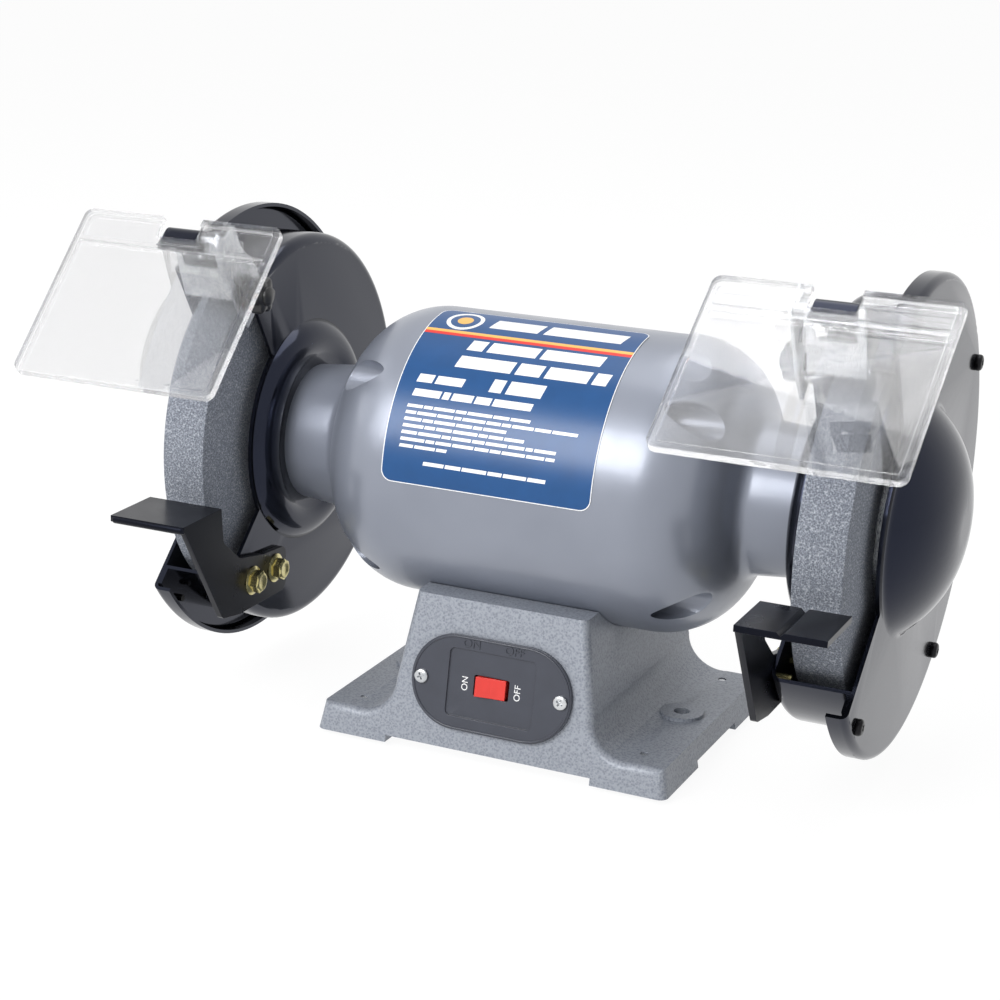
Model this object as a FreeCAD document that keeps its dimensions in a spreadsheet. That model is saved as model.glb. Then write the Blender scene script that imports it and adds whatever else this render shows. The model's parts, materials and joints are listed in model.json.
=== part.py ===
import FreeCAD, Part
import math
import os
import re

import Sketcher

V = FreeCAD.Vector

# ---------------------------------------------------------------- named sizes
# millimetres and degrees; +X along the shaft, +Y to the back, +Z up.
SIZES = {
    # base casting
    "axis_z": 147,          # shaft over the casting's underside
    "foot_z": 0,            # datum: the casting's underside
    "base_x": 104,          # half length of the foot plate
    "base_y": 83,           # half depth of the foot plate
    "foot_h": 16,
    "foot_draft": 3,
    "flank_fillet": 20,
    "col_x_top": 50,
    "col_x_low": 62,
    "col_y_top": 70,
    "saddle_drop": 60,      # top of the column under the shaft axis
    "base_edge": 5,
    "base_wall": 7,
    "channel_h": 4,
    "pad_x": 61,
    "pad_y": 31,
    "bolt_x": 82,
    "bolt_r": 4.5,
    "bolt_boss_r": 12,
    "bolt_boss_h": 2,
    "foot_x": 84,
    "foot_y": 63,
    "foot_r": 11,
    "foot_sink": 3,
    "foot_out": 3,          # rubber foot below the casting
    "foot_screw_r": 2,
    "foot_head_r": 4,
    "foot_head_h": 2.5,
    "under_plate_t": 1.5,
    "under_plate_gap": 1,
    "under_screw_back": 18,
    "under_screw_in": 5,
    "gland_x": 24,
    "gland_z": 31,
    "gland_r": 9,
    "gland_bore": 4,
    "capacitor_r": 16,
    "capacitor_len": 62,
    "capacitor_y": 30,
    # switch
    "plate_x": 47,
    "plate_y": 26.5,
    "plate_t": 2.5,
    "plate_z": 42,
    "plate_well_x": 25.5,
    "plate_well_y": 19,
    "plate_well_depth": 1.2,
    "plate_screw_in": 6,
    "rocker_x": 10,
    "rocker_y": 5.5,
    "rocker_out": 3,
    "rocker_swing_gap": 1.6,
    "rocker_pivot": 3,
    "pivot_r": 1.2,
    "switch_depth": 24,
    "switch_rim": 1.5,
    # motor
    "motor_r": 80,
    "stator_half": 62,
    "stator_wall": 5,
    "bell_straight": 8,
    "bell_round": 48,
    "bell_wall": 7,
    "neck_r": 41,
    "neck_end_r": 38.5,
    "neck_end_x": 150,
    "neck_fillet": 8,
    "neck_lip": 3,
    "tie_r": 70,
    "tie_deg": 45,
    "tie_pocket_r": 9,
    "tie_pocket_in": 7,
    "tie_head_r": 5,
    "tie_head_h": 4,
    "tie_shank_r": 2.4,
    "core_half": 36,
    "core_bore": 45,
    "air_gap": 0.5,
    "coil_r_in": 48,
    "coil_r_out": 69,
    "coil_len": 15,
    "label_half": 60,
    "label_x": -8,
    "label_t": 0.3,
    "label_low_deg": 2,
    "label_high_deg": 88,
    "mount_screw_x": 35,
    "mount_screw_r": 3,
    # bearings and shaft
    "bearing_od": 47,
    "bearing_id": 20,
    "bearing_w": 14,
    "race_t": 3,
    "ball_count": 8,
    "shaft_mid_r": 12,
    "arbor_d": 15.875,
    "shaft_out": 8,         # thread beyond the nut
    # wheels
    "wheel_r": 101.6,
    "wheel_w": 25.4,
    "wheel_x": 166,
    "wheel_edge": 0.8,
    "flange_r": 50,
    "flange_t": 8,
    "flange_relief": 1.5,
    "flange_land": 12,
    "nut_af": 24,
    "nut_t": 10,
    # guard
    "drum_x": 156,
    "drum_r": 112,
    "sheet_t": 2,
    "drum_round": 6,
    "bead_in_r": 44,
    "bead_out_r": 64,
    "bead_round": 14,
    "hub_bore_r": 14,
    "cover_x": 200,
    "cover_r": 126,
    "cover_t": 2,
    "cover_rim": 11,
    "cover_round": 4,
    "rim_gap": 2,
    "dome_r": 60,
    "dome_h": 25,
    "dome_flat": 8,
    "dome_fillet": 5,
    "mouth_r": 66,
    "mouth_low_in": 31,
    "mouth_low_out": 39,
    "mouth_up_in": 51,
    "mouth_up_out": 56,
    "cover_screw_ring": 117.5,
    "cover_screw_r": 2,
    "cover_head_r": 4.4,
    "cover_head_h": 2.8,
    "guard_screw_ring": 31,
    "guard_screw_r": 2.5,
    "guard_head_r": 4.5,
    "guard_head_h": 3,
    # tool rests
    "rest_t": 3.5,
    "rest_drop": 20,
    "rest_gap": 5,
    "rest_depth": 40,
    "rest_width": 46,
    "rest_low": 87,
    "rest_back_y": 32,
    "rest_bolt_y": 71,
    "rest_bolt_y2": 45,
    "rest_bolt_z": 71,
    "rest_bolt_r": 2.5,
    "rest_head_r": 6.5,
    "rest_travel": 6,
    "groove_w": 5,
    # shields
    "knob_y": 68,
    "knob_z": 91,
    "knob_r": 10.5,
    "knob_t": 12,
    "bracket_t": 1.8,
    "hinge_y": 100,
    "hinge_z": 123,
    "rod_r": 3,
    "clamp_r": 6,
    "clamp_len": 21,
    "clamp_flap": 4,
    "shield_x": 176,
    "shield_w": 120,
    "shield_above": 7,
    "shield_below": 98,
    "shield_t": 3,
    "left_tilt": 46,
    "right_tilt": 53,
    "shield_corner": 5,
    "shield_rib": 1.5,
    "shield_rib_w": 4,
    "shield_rail": 12,
    "notch_gap": 1.5,
    "notch_deep": 5,
    "bracket_end": 4.5,
    # spark arrestors
    "spark_t": 1.5,
    "spark_w": 29,
    "spark_slope": 21,
    "spark_top_len": 36,
    "spark_front_len": 32,
    "spark_lean": 68,
    "spark_start_y": 58,
    "spark_start_z": 106.5,
    "spark_screw_at": 17,
    "spark_travel": 6,
    "spark_screw_r": 2,
    "lug_t": 2.5,
    # clearances
    "run_gap": 0.03,
    "seat_gap": 0.02,
    "face_gap": 0.1,
    "hole_gap": 0.3,
    "saddle_gap": 0.3,
}

DERIVED = {
    "col_top": "axis_z - saddle_drop",
    "face_deg": "atan((base_y - col_y_top) / (col_top - foot_z)) / 1 deg",
    "face_y": "base_y - (plate_z - foot_z) * (base_y - col_y_top) / (col_top - foot_z)",
    "under_screw_y": "base_y - under_screw_back",
    "rocker_half": "rocker_x - rocker_swing_gap",
    "rear_y": "base_y - (gland_z - foot_z) * (base_y - col_y_top) / (col_top - foot_z)",
    "bell_x": "stator_half + bell_straight",
    "bell_cr": "motor_r - bell_round",
    "cavity_r": "tie_r - tie_pocket_r - 4",
    "bell_sin": "(neck_r + neck_fillet - bell_cr) / (bell_round + neck_fillet)",
    "bell_cos": "sqrt(1 - bell_sin * bell_sin)",
    "bearing_end": "neck_end_x - neck_lip",
    "bearing_in": "bearing_end - bearing_w",
    "bore_r": "bearing_od / 2",
    "arbor_r": "arbor_d / 2",
    "wheel_out": "wheel_x + wheel_w",
    "nut_x": "wheel_out + flange_t",
    "shaft_end": "nut_x + nut_t + shaft_out",
    "cover_in": "cover_x - cover_t",
    "drum_end": "cover_in - sheet_t",
    "drum_flange_r": "cover_r - cover_t - rim_gap",
    "rest_x": "drum_x - face_gap - rest_t",
    "rest_rear": "wheel_r + rest_gap - 2",
    "rest_front": "rest_rear + rest_depth",
    "mouth_reach": "cover_r * 1.7",
    "spark_mid": "drum_x + sheet_t + spark_w / 2 + 1",
}

AXIS = {"x": V(1, 0, 0), "y": V(0, 1, 0), "z": V(0, 0, 1)}
SIDES = (("left", -1), ("right", 1))

doc = FreeCAD.newDocument("bench_grinder")
sheet = doc.addObject("Spreadsheet::Sheet", "Dims")
work = doc.addObject("Spreadsheet::Sheet", "Work")


def fill_sheet():
    """Write every size once, then the values that follow from them."""
    rows = [(n, str(v)) for n, v in SIZES.items()]
    rows += [(n, "=" + f) for n, f in DERIVED.items()]
    for row, (name, text) in enumerate(rows, 1):
        sheet.set("A%d" % row, name)
        sheet.set("B%d" % row, text)
        sheet.setAlias("B%d" % row, name)
    doc.recompute()


def full(expr):
    """Point the bare size names in an expression at the sheet."""
    def name(match):
        word = match.group(0)
        known = word in SIZES or word in DERIVED
        return "Dims." + word if known else word
    return re.sub(r"[a-z][a-z0-9_]*", name, str(expr))


numbers = {}


def number(expr):
    """Value of an expression in the sheet's terms."""
    expr = str(expr)
    if expr not in numbers:
        work.set("A1", "=" + full(expr))
        work.recompute()
        value = work.get("A1")
        numbers[expr] = float(getattr(value, "Value", value))
    return numbers[expr]


def bind(obj, prop, expr):
    obj.setExpression(prop, full(expr))


def place(obj, x="0", y="0", z="0", rotation=None):
    """Give an object a placement that follows the named sizes."""
    if rotation is not None:
        axis, degrees = rotation
        obj.Placement = FreeCAD.Placement(V(0, 0, 0), FreeCAD.Rotation(AXIS[axis], number(degrees)))
        if not re.fullmatch(r"-?[0-9.]+", str(degrees)):
            bind(obj, "Placement.Rotation.Angle", "(%s) * 1 deg" % degrees)
    for key, expr in (("x", x), ("y", y), ("z", z)):
        if str(expr) != "0":
            bind(obj, "Placement.Base." + key, expr)
    return obj


# ------------------------------------------------------------ Part primitives
def cylinder(name, r, h, x="0", y="0", z="0", along="z"):
    obj = doc.addObject("Part::Cylinder", name)
    bind(obj, "Radius", r)
    bind(obj, "Height", h)
    turn = {"z": None, "x": ("y", 90), "y": ("x", -90)}[along]
    return place(obj, x, y, z, turn)


def box(name, length, width, height, x="0", y="0", z="0", rotation=None):
    obj = doc.addObject("Part::Box", name)
    bind(obj, "Length", length)
    bind(obj, "Width", width)
    bind(obj, "Height", height)
    return place(obj, x, y, z, rotation)


def fuse(name, shapes):
    obj = doc.addObject("Part::MultiFuse", name)
    obj.Shapes = shapes
    return obj


def cut(name, base, tools):
    obj = doc.addObject("Part::Cut", name)
    obj.Base = base
    obj.Tool = tools[0] if len(tools) == 1 else fuse(name + "_tools", tools)
    return obj


# ------------------------------------------------------------------- sketches
def attach(sketch, body, plane, offset):
    if body is None:
        turn = {"XY": FreeCAD.Rotation(),
                "XZ": FreeCAD.Rotation(V(1, 0, 0), 90),
                "YZ": FreeCAD.Rotation(V(1, 1, 1), 120)}[plane]
        sketch.Placement = FreeCAD.Placement(V(0, 0, 0), turn)
        key = {"XY": ("z", ""), "XZ": ("y", "-"), "YZ": ("x", "")}[plane]
        if str(offset) != "0":
            bind(sketch, "Placement.Base." + key[0], "%s(%s)" % (key[1], offset))
        return
    role = plane + "_Plane"
    face = [f for f in body.Origin.OriginFeatures if f.Role == role][0]
    sketch.AttachmentSupport = [(face, "")]
    sketch.MapMode = "FlatFace"
    if str(offset) != "0":
        bind(sketch, "AttachmentOffset.Base.z", offset)


def pin(sketch, geo, pos, x, y):
    """Fix one point of the sketch at two expressions."""
    for kind, line, expr in (("DistanceX", -2, x), ("DistanceY", -1, y)):
        if str(expr) == "0":
            sketch.addConstraint(Sketcher.Constraint("PointOnObject", geo, pos, line))
        else:
            limit = Sketcher.Constraint(kind, -1, 1, geo, pos, number(expr))
            index = sketch.addConstraint(limit)
            sketch.setExpression("Constraints[%d]" % index, full(expr))


def arc_between(a, b, radius, bulge):
    """Circle arc from a to b; bulge 1 lies left of the way from a to b."""
    chord = b - a
    half = chord.Length / 2
    left = V(-chord.y, chord.x, 0).normalize()
    rise = math.sqrt(max(radius * radius - half * half, 0))
    centre = (a + b) * 0.5 - left * rise * bulge
    middle = centre + left * radius * bulge
    return Part.Arc(b, middle, a) if bulge > 0 else Part.Arc(a, middle, b)


def draw(sketch, corners):
    """Closed outline. A corner is (x, y) or (x, y, radius, bulge) for an arc arriving there."""
    spots = [V(number(c[0]), number(c[1]), 0) for c in corners]
    first = sketch.GeometryCount
    ends = []
    for i, corner in enumerate(corners):
        a, b = spots[i - 1], spots[i]
        if len(corner) == 2:
            geo = sketch.addGeometry(Part.LineSegment(a, b), False)
            ends.append((geo, 1, 2))
            continue
        arc = arc_between(a, b, number(corner[2]), corner[3])
        geo = sketch.addGeometry(arc, False)
        shape = sketch.Geometry[geo]
        start_first = shape.StartPoint.distanceToPoint(a) < shape.EndPoint.distanceToPoint(a)
        ends.append((geo, 1, 2) if start_first else (geo, 2, 1))
        index = sketch.addConstraint(Sketcher.Constraint("Radius", geo, number(corner[2])))
        sketch.setExpression("Constraints[%d]" % index, full(corner[2]))
    for i, corner in enumerate(corners):
        geo, _, end = ends[i]
        after, start, _ = ends[(i + 1) % len(ends)]
        sketch.addConstraint(Sketcher.Constraint("Coincident", geo, end, after, start))
        pin(sketch, geo, end, corner[0], corner[1])
    return first


def draw_circle(sketch, x, y, r):
    geo = sketch.addGeometry(Part.Circle(V(number(x), number(y), 0), V(0, 0, 1), number(r)), False)
    pin(sketch, geo, 3, x, y)
    index = sketch.addConstraint(Sketcher.Constraint("Radius", geo, number(r)))
    sketch.setExpression("Constraints[%d]" % index, full(r))


def round_box(x, y, half_x, half_y, r):
    """Corner list of a rectangle with rounded corners about (x, y)."""
    out = []
    for sx, sy, flip in ((1, -1, 0), (1, 1, 1), (-1, 1, 0), (-1, -1, 1)):
        outer_x = "%s + %d * (%s)" % (x, sx, half_x)
        inner_x = "%s + %d * (%s - %s)" % (x, sx, half_x, r)
        outer_y = "%s + %d * (%s)" % (y, sy, half_y)
        inner_y = "%s + %d * (%s - %s)" % (y, sy, half_y, r)
        pair = [(inner_x, outer_y), (outer_x, inner_y)]
        if flip:
            pair.reverse()
        out += [pair[0], pair[1] + (r, -1)]
    return out


def new_sketch(name, plane, offset="0", body=None, outlines=(), circles=()):
    if body is None:
        sketch = doc.addObject("Sketcher::SketchObject", name)
    else:
        sketch = body.newObject("Sketcher::SketchObject", name)
    attach(sketch, body, plane, offset)
    for outline in outlines:
        draw(sketch, outline)
    for circle in circles:
        draw_circle(sketch, *circle)
    return sketch


# --------------------------------------------------------- PartDesign features
def new_body(label, x="0", y="0", z="0", rotation=None):
    body = doc.addObject("PartDesign::Body", label)
    body.Label = label
    return place(body, x, y, z, rotation)


def revolve(body, sketch, axis="H_Axis"):
    feature = body.newObject("PartDesign::Revolution", sketch.Name + "_turn")
    feature.Profile = sketch
    feature.ReferenceAxis = (sketch, [axis])
    feature.Angle = 360
    doc.recompute()
    if not feature.isValid() or feature.Shape.isNull():
        raise RuntimeError("not turned: " + sketch.Name)
    return feature


def pad(body, sketch, length, backwards=False):
    feature = body.newObject("PartDesign::Pad", sketch.Name + "_pad")
    feature.Profile = sketch
    bind(feature, "Length", length)
    feature.Reversed = backwards
    doc.recompute()
    return feature


def pocket(body, sketch, length):
    """Cut the sketch into the body, on whichever side the material lies."""
    before = body.Shape.Volume
    feature = body.newObject("PartDesign::Pocket", sketch.Name + "_cut")
    feature.Profile = sketch
    bind(feature, "Length", length)
    doc.recompute()
    if abs(body.Shape.Volume - before) < 1e-4:
        feature.Reversed = not feature.Reversed
        doc.recompute()
    if abs(body.Shape.Volume - before) < 1e-4:
        raise RuntimeError("cut without effect: " + sketch.Name)
    return feature


def edge_names(shape, test):
    return ["Edge%d" % i for i, edge in enumerate(shape.Edges, 1) if test(edge)]


def dress(body, kind, test, size):
    """Fillet or chamfer the edges of the newest feature that pass the test."""
    base = body.Tip
    names = edge_names(base.Shape, test)
    if not names:
        raise RuntimeError("no edge for " + body.Label)
    feature = body.newObject("PartDesign::" + kind, "%s_%s" % (body.Name, kind.lower()))
    feature.Base = (base, names)
    bind(feature, "Radius" if kind == "Fillet" else "Size", size)
    doc.recompute()
    return feature


def ring_edge(places):
    """Test for full circles about the shaft at given (x, radius) pairs."""
    wanted = [(number(x), number(r)) for x, r in places]

    def test(edge):
        curve = edge.Curve
        if not hasattr(curve, "Radius"):
            return False
        off_axis = math.hypot(curve.Center.y, curve.Center.z)
        if off_axis > 0.01:
            return False
        return any(abs(curve.Center.x - x) < 0.02 and abs(curve.Radius - r) < 0.02 for x, r in wanted)
    return test


def line_edge(axis, places):
    """Test for straight edges along one axis through given points of the other two."""
    index = "xyz".index(axis)
    others = [i for i in range(3) if i != index]
    wanted = [(number(a), number(b)) for a, b in places]

    def test(edge):
        if len(edge.Vertexes) != 2:
            return False
        a, b = edge.Vertexes[0].Point, edge.Vertexes[1].Point
        for p, q in wanted:
            level = [abs(e[others[0]] - p) + abs(e[others[1]] - q) for e in (a, b)]
            if max(level) < 0.05 and abs(a[index] - b[index]) > 0.2:
                return True
        return False
    return test


def signed(side, expr):
    return "%d * (%s)" % (side, expr)


def turned(label, corners, side=1, z="axis_z"):
    """Solid of revolution about the shaft axis; corners are (x, radius)."""
    body = new_body(label, z=z)
    outline = []
    for corner in corners:
        point = (signed(side, corner[0]), corner[1])
        if len(corner) == 4:
            point += (corner[2], corner[3] * side)
        outline.append(point)
    sketch = new_sketch(label + "_profile", "XZ", body=body, outlines=[outline])
    revolve(body, sketch)
    return body


def slab(label, side, x, thick, outlines, circles=(), z="axis_z"):
    """Plate parallel to the wheel's face, from x outwards."""
    body = new_body(label, z=z)
    sketch = new_sketch(label + "_outline", "YZ", signed(side, x), body, outlines, circles)
    pad(body, sketch, thick, side < 0)
    return body


def screw_set(label, places, way, head_r, head_h, shank_r, shank_len, hex_head=False):
    """Screws with the head's seat at each place and the shank running towards `way`."""
    axis, sign = way[-1], -1 if way.startswith("-") else 1
    solids = []
    for i, (x, y, z) in enumerate(places, 1):
        spot = {"x": x, "y": y, "z": z}
        head = dict(spot)
        shank = dict(spot)
        if sign > 0:
            head[axis] = "%s - (%s)" % (spot[axis], head_h)
        else:
            shank[axis] = "%s - (%s)" % (spot[axis], shank_len)
        name = "%s_%d" % (label, i)
        if hex_head:
            top = doc.addObject("Part::Prism", name + "_head")
            top.Polygon = 6
            bind(top, "Circumradius", head_r)
            bind(top, "Height", head_h)
            turn = {"z": None, "x": ("y", 90), "y": ("x", -90)}[axis]
            place(top, head["x"], head["y"], head["z"], turn)
        else:
            top = cylinder(name + "_head", head_r, head_h, head["x"], head["y"], head["z"], axis)
        solids += [top, cylinder(name + "_shank", shank_r, shank_len,
                                 shank["x"], shank["y"], shank["z"], axis)]
    return fuse(label, solids)


nodes = []


def keep(obj, label):
    obj.Label = label
    nodes.append(obj)
    return obj


fill_sheet()


# ------------------------------------------------------------------------ base
def build_base():
    low = "foot_z"
    foot_top = "foot_z + foot_h"
    slope = "(col_x_low - col_x_top) / (col_top - foot_z - foot_h)"
    front = []
    for s in (1, -1):
        side = [
            ("%d * base_x" % s, low),
            ("%d * (base_x - foot_draft)" % s, foot_top),
            ("%d * (col_x_low + flank_fillet)" % s, foot_top),
            ("%d * (col_x_low - flank_fillet * %s)" % (s, slope), foot_top + " + flank_fillet",
             "flank_fillet", s),
            ("%d * col_x_top" % s, "col_top"),
        ]
        if s < 0:
            side = [side[4], side[3][:2], side[2][:2] + ("flank_fillet", 1), side[1], side[0]]
        front += side
    ahead = new_sketch("base_front", "XZ", outlines=[front])
    across = new_sketch("base_side", "YZ", outlines=[[
        ("base_y", low), ("col_y_top", "col_top"), ("-col_y_top", "col_top"), ("-base_y", low)]])
    solids = []
    for sketch, depth in ((ahead, "2 * base_y + 2"), (across, "2 * base_x + 2")):
        solid = doc.addObject("Part::Extrusion", sketch.Name + "_block")
        solid.Base = sketch
        solid.DirMode = "Normal"
        bind(solid, "LengthFwd", depth)
        solid.Symmetric = True
        solid.Solid = True
        solids.append(solid)
    block = doc.addObject("Part::MultiCommon", "base_block")
    block.Shapes = solids
    doc.recompute()
    soft = doc.addObject("Part::Fillet", "base_soft")
    soft.Base = block
    chosen = []
    for i, edge in enumerate(block.Shape.Edges, 1):
        box_ = edge.BoundBox
        flat_in_y = box_.YLength > 2 * number("col_y_top") - 1
        at_low = box_.ZMax < number("foot_z") + 0.1
        at_top = box_.ZMin > number("col_top") - 0.1
        if not flat_in_y and not at_low and not at_top:
            chosen.append((i, number("base_edge"), number("base_edge")))
    soft.Edges = chosen
    tools = [cylinder("saddle_cut", "motor_r + saddle_gap", "2 * base_x + 2", "-base_x - 1",
                      z="axis_z", along="x")]
    hollow = doc.addObject("Part::Wedge", "base_hollow")
    spans = (("Xmin", "-col_x_low + 2 * base_wall"), ("Xmax", "col_x_low - 2 * base_wall"),
             ("Zmin", "-base_y + 2 * base_wall"), ("Zmax", "base_y - 2 * base_wall"),
             ("Ymin", "foot_z - 1"), ("Ymax", "axis_z - motor_r - base_wall"),
             ("X2min", "-col_x_top + base_wall"), ("X2max", "col_x_top - base_wall"),
             ("Z2min", "-col_y_top + base_wall"), ("Z2max", "col_y_top - base_wall"))
    for prop, expr in spans:
        bind(hollow, prop, expr)
    place(hollow, rotation=("x", 90))
    tools.append(hollow)
    tools.append(box("channel_y", "2 * pad_x", "2 * base_y + 2", "channel_h",
                     "-pad_x", "-base_y - 1", "foot_z"))
    tools.append(box("channel_x", "2 * base_x + 2", "2 * pad_y", "channel_h",
                     "-base_x - 1", "-pad_y", "foot_z"))
    for s in (-1, 1):
        tools.append(cylinder("bolt_hole_%d" % (s + 1), "bolt_r", "foot_h + 4",
                              "%d * bolt_x" % s, z="foot_z - 1"))
        tools.append(cylinder("mount_hole_%d" % (s + 1), "mount_screw_r + hole_gap", "motor_r",
                              "%d * mount_screw_x" % s, z="foot_z + foot_h"))
        for t in (-1, 1):
            tools.append(cylinder("foot_hole_%d%d" % (s + 1, t + 1), "foot_screw_r + hole_gap",
                                  "foot_h + 2", "%d * foot_x" % s, "%d * foot_y" % t, "foot_z - 1"))
            tools.append(cylinder("foot_seat_%d%d" % (s + 1, t + 1), "foot_r + hole_gap",
                                  "foot_sink", "%d * foot_x" % s, "%d * foot_y" % t, "foot_z"))
            tools.append(cylinder("under_hole_%d%d" % (s + 1, t + 1), "foot_screw_r + seat_gap",
                                  "foot_h - channel_h - 1", "%d * (pad_x - under_screw_in)" % s,
                                  "%d * under_screw_y" % t, "foot_z + channel_h - 1"))
    opening = box("switch_hole", "2 * (rocker_x + switch_rim + hole_gap)",
                  "2 * (rocker_y + switch_rim + hole_gap)", "4 * base_wall")
    bind(opening, "Placement.Base.x", "-(rocker_x + switch_rim + hole_gap)")
    shift = "(rocker_y + switch_rim + hole_gap)"
    opening.Placement = FreeCAD.Placement(V(0, 0, 0), FreeCAD.Rotation(V(1, 0, 0), 90 - number("face_deg")))
    bind(opening, "Placement.Rotation.Angle", "(90 - face_deg) * 1 deg")
    bind(opening, "Placement.Base.x", "-(rocker_x + switch_rim + hole_gap)")
    bind(opening, "Placement.Base.y",
         "-face_y - %s * sin(face_deg) + 3 * base_wall * cos(face_deg)" % shift)
    bind(opening, "Placement.Base.z",
         "plate_z - %s * cos(face_deg) - 3 * base_wall * sin(face_deg)" % shift)
    tools.append(opening)
    for s in (-1, 1):
        hole = doc.addObject("Part::Cylinder", "plate_hole_%d" % (s + 1))
        bind(hole, "Radius", "foot_screw_r + seat_gap")
        bind(hole, "Height", "4 * base_wall")
        place(hole, "%d * (plate_x - plate_screw_in)" % s, "-face_y + 2 * base_wall * cos(face_deg)",
              "plate_z - 2 * base_wall * sin(face_deg)", ("x", "90 - face_deg"))
        tools.append(hole)
    tools.append(cylinder("gland_hole", "gland_r + hole_gap", "4 * base_wall", "gland_x",
                          "base_y - 3 * base_wall", "gland_z", "y"))
    bosses = []
    for s in (-1, 1):
        bosses.append(cylinder("bolt_boss_%d" % (s + 1), "bolt_boss_r", "foot_h / 2 + bolt_boss_h",
                               "%d * bolt_x" % s, z="foot_z + foot_h / 2"))
    carved = cut("base_carved", fuse("base_solid", [soft] + bosses), tools)
    tubes = []
    for s in (-1, 1):
        tube = cylinder("bolt_tube_%d" % (s + 1), "bolt_boss_r", "channel_h + 1", "%d * bolt_x" % s,
                        z="foot_z")
        bore = cylinder("bolt_tube_bore_%d" % (s + 1), "bolt_r", "channel_h + 3", "%d * bolt_x" % s,
                        z="foot_z - 1")
        tubes.append(cut("bolt_foot_%d" % (s + 1), tube, [bore]))
    keep(fuse("base_casting", [carved] + tubes), "base_casting")

    plate = new_body("bottom_cover", z="foot_z + channel_h - under_plate_t")
    holes = []
    for s in (-1, 1):
        for t in (-1, 1):
            holes.append(("%d * (pad_x - under_screw_in)" % s, "%d * under_screw_y" % t,
                          "foot_screw_r + hole_gap"))
    sketch = new_sketch("bottom_outline", "XY", body=plate, circles=holes, outlines=[
        round_box("0", "0", "pad_x - under_plate_gap", "under_screw_y + under_screw_in", "3")])
    pad(plate, sketch, "under_plate_t")
    keep(plate, "bottom_cover")
    seats = [(x, y, "foot_z + channel_h - under_plate_t") for x, y, _ in holes]
    keep(screw_set("bottom_screws", seats, "z", "foot_head_r - 0.5", "1.6", "foot_screw_r", "8"),
         "bottom_screws")

    feet, screws = [], []
    for s in (-1, 1):
        for t in (-1, 1):
            x, y = "%d * foot_x" % s, "%d * foot_y" % t
            tag = "%d%d" % (s + 1, t + 1)
            rubber = doc.addObject("Part::Cone", "foot_" + tag)
            bind(rubber, "Radius1", "foot_r - 1.5")
            bind(rubber, "Radius2", "foot_r")
            bind(rubber, "Height", "foot_out + foot_sink")
            place(rubber, x, y, "foot_z - foot_out")
            bore = cylinder("foot_bore_" + tag, "foot_screw_r + hole_gap", "foot_out + foot_sink + 2",
                            x, y, "foot_z - foot_out - 1")
            well = cylinder("foot_well_" + tag, "foot_head_r + hole_gap", "foot_head_h + 2", x, y,
                            "foot_z - foot_out - 1")
            feet.append(cut("foot_piece_" + tag, rubber, [bore, well]))
            screws.append((x, y, "foot_z - foot_out + foot_head_h + 1"))
    keep(fuse("rubber_feet", feet), "rubber_feet")
    keep(screw_set("foot_screws", screws, "z", "foot_head_r", "foot_head_h", "foot_screw_r",
                   "foot_out + foot_h - 4"), "foot_screws")
    seats = [("%d * mount_screw_x" % s, "0", "axis_z - motor_r - base_wall") for s in (-1, 1)]
    keep(screw_set("motor_screws", seats, "z", "mount_screw_r + 2", "4", "mount_screw_r",
                   "base_wall + stator_wall - 0.5"), "motor_screws")

    gland = new_body("inlet_gland", "gland_x", "rear_y + 2 - base_wall * 1.5", "gland_z", ("x", -90))
    rim = "gland_r + 3"
    sketch = new_sketch("gland_profile", "XZ", body=gland, outlines=[[
        ("gland_bore", "0"), ("gland_r", "0"), ("gland_r", "base_wall * 1.5"), (rim, "base_wall * 1.5"),
        (rim, "base_wall * 1.5 + 3"), ("gland_bore", "base_wall * 1.5 + 3")]])
    revolve(gland, sketch, "V_Axis")
    keep(gland, "inlet_gland")
    can = cylinder("capacitor", "capacitor_r", "capacitor_len", "-capacitor_len / 2", "capacitor_y",
                   "foot_z + channel_h + capacitor_r + 1", "x")
    keep(can, "capacitor")


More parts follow.
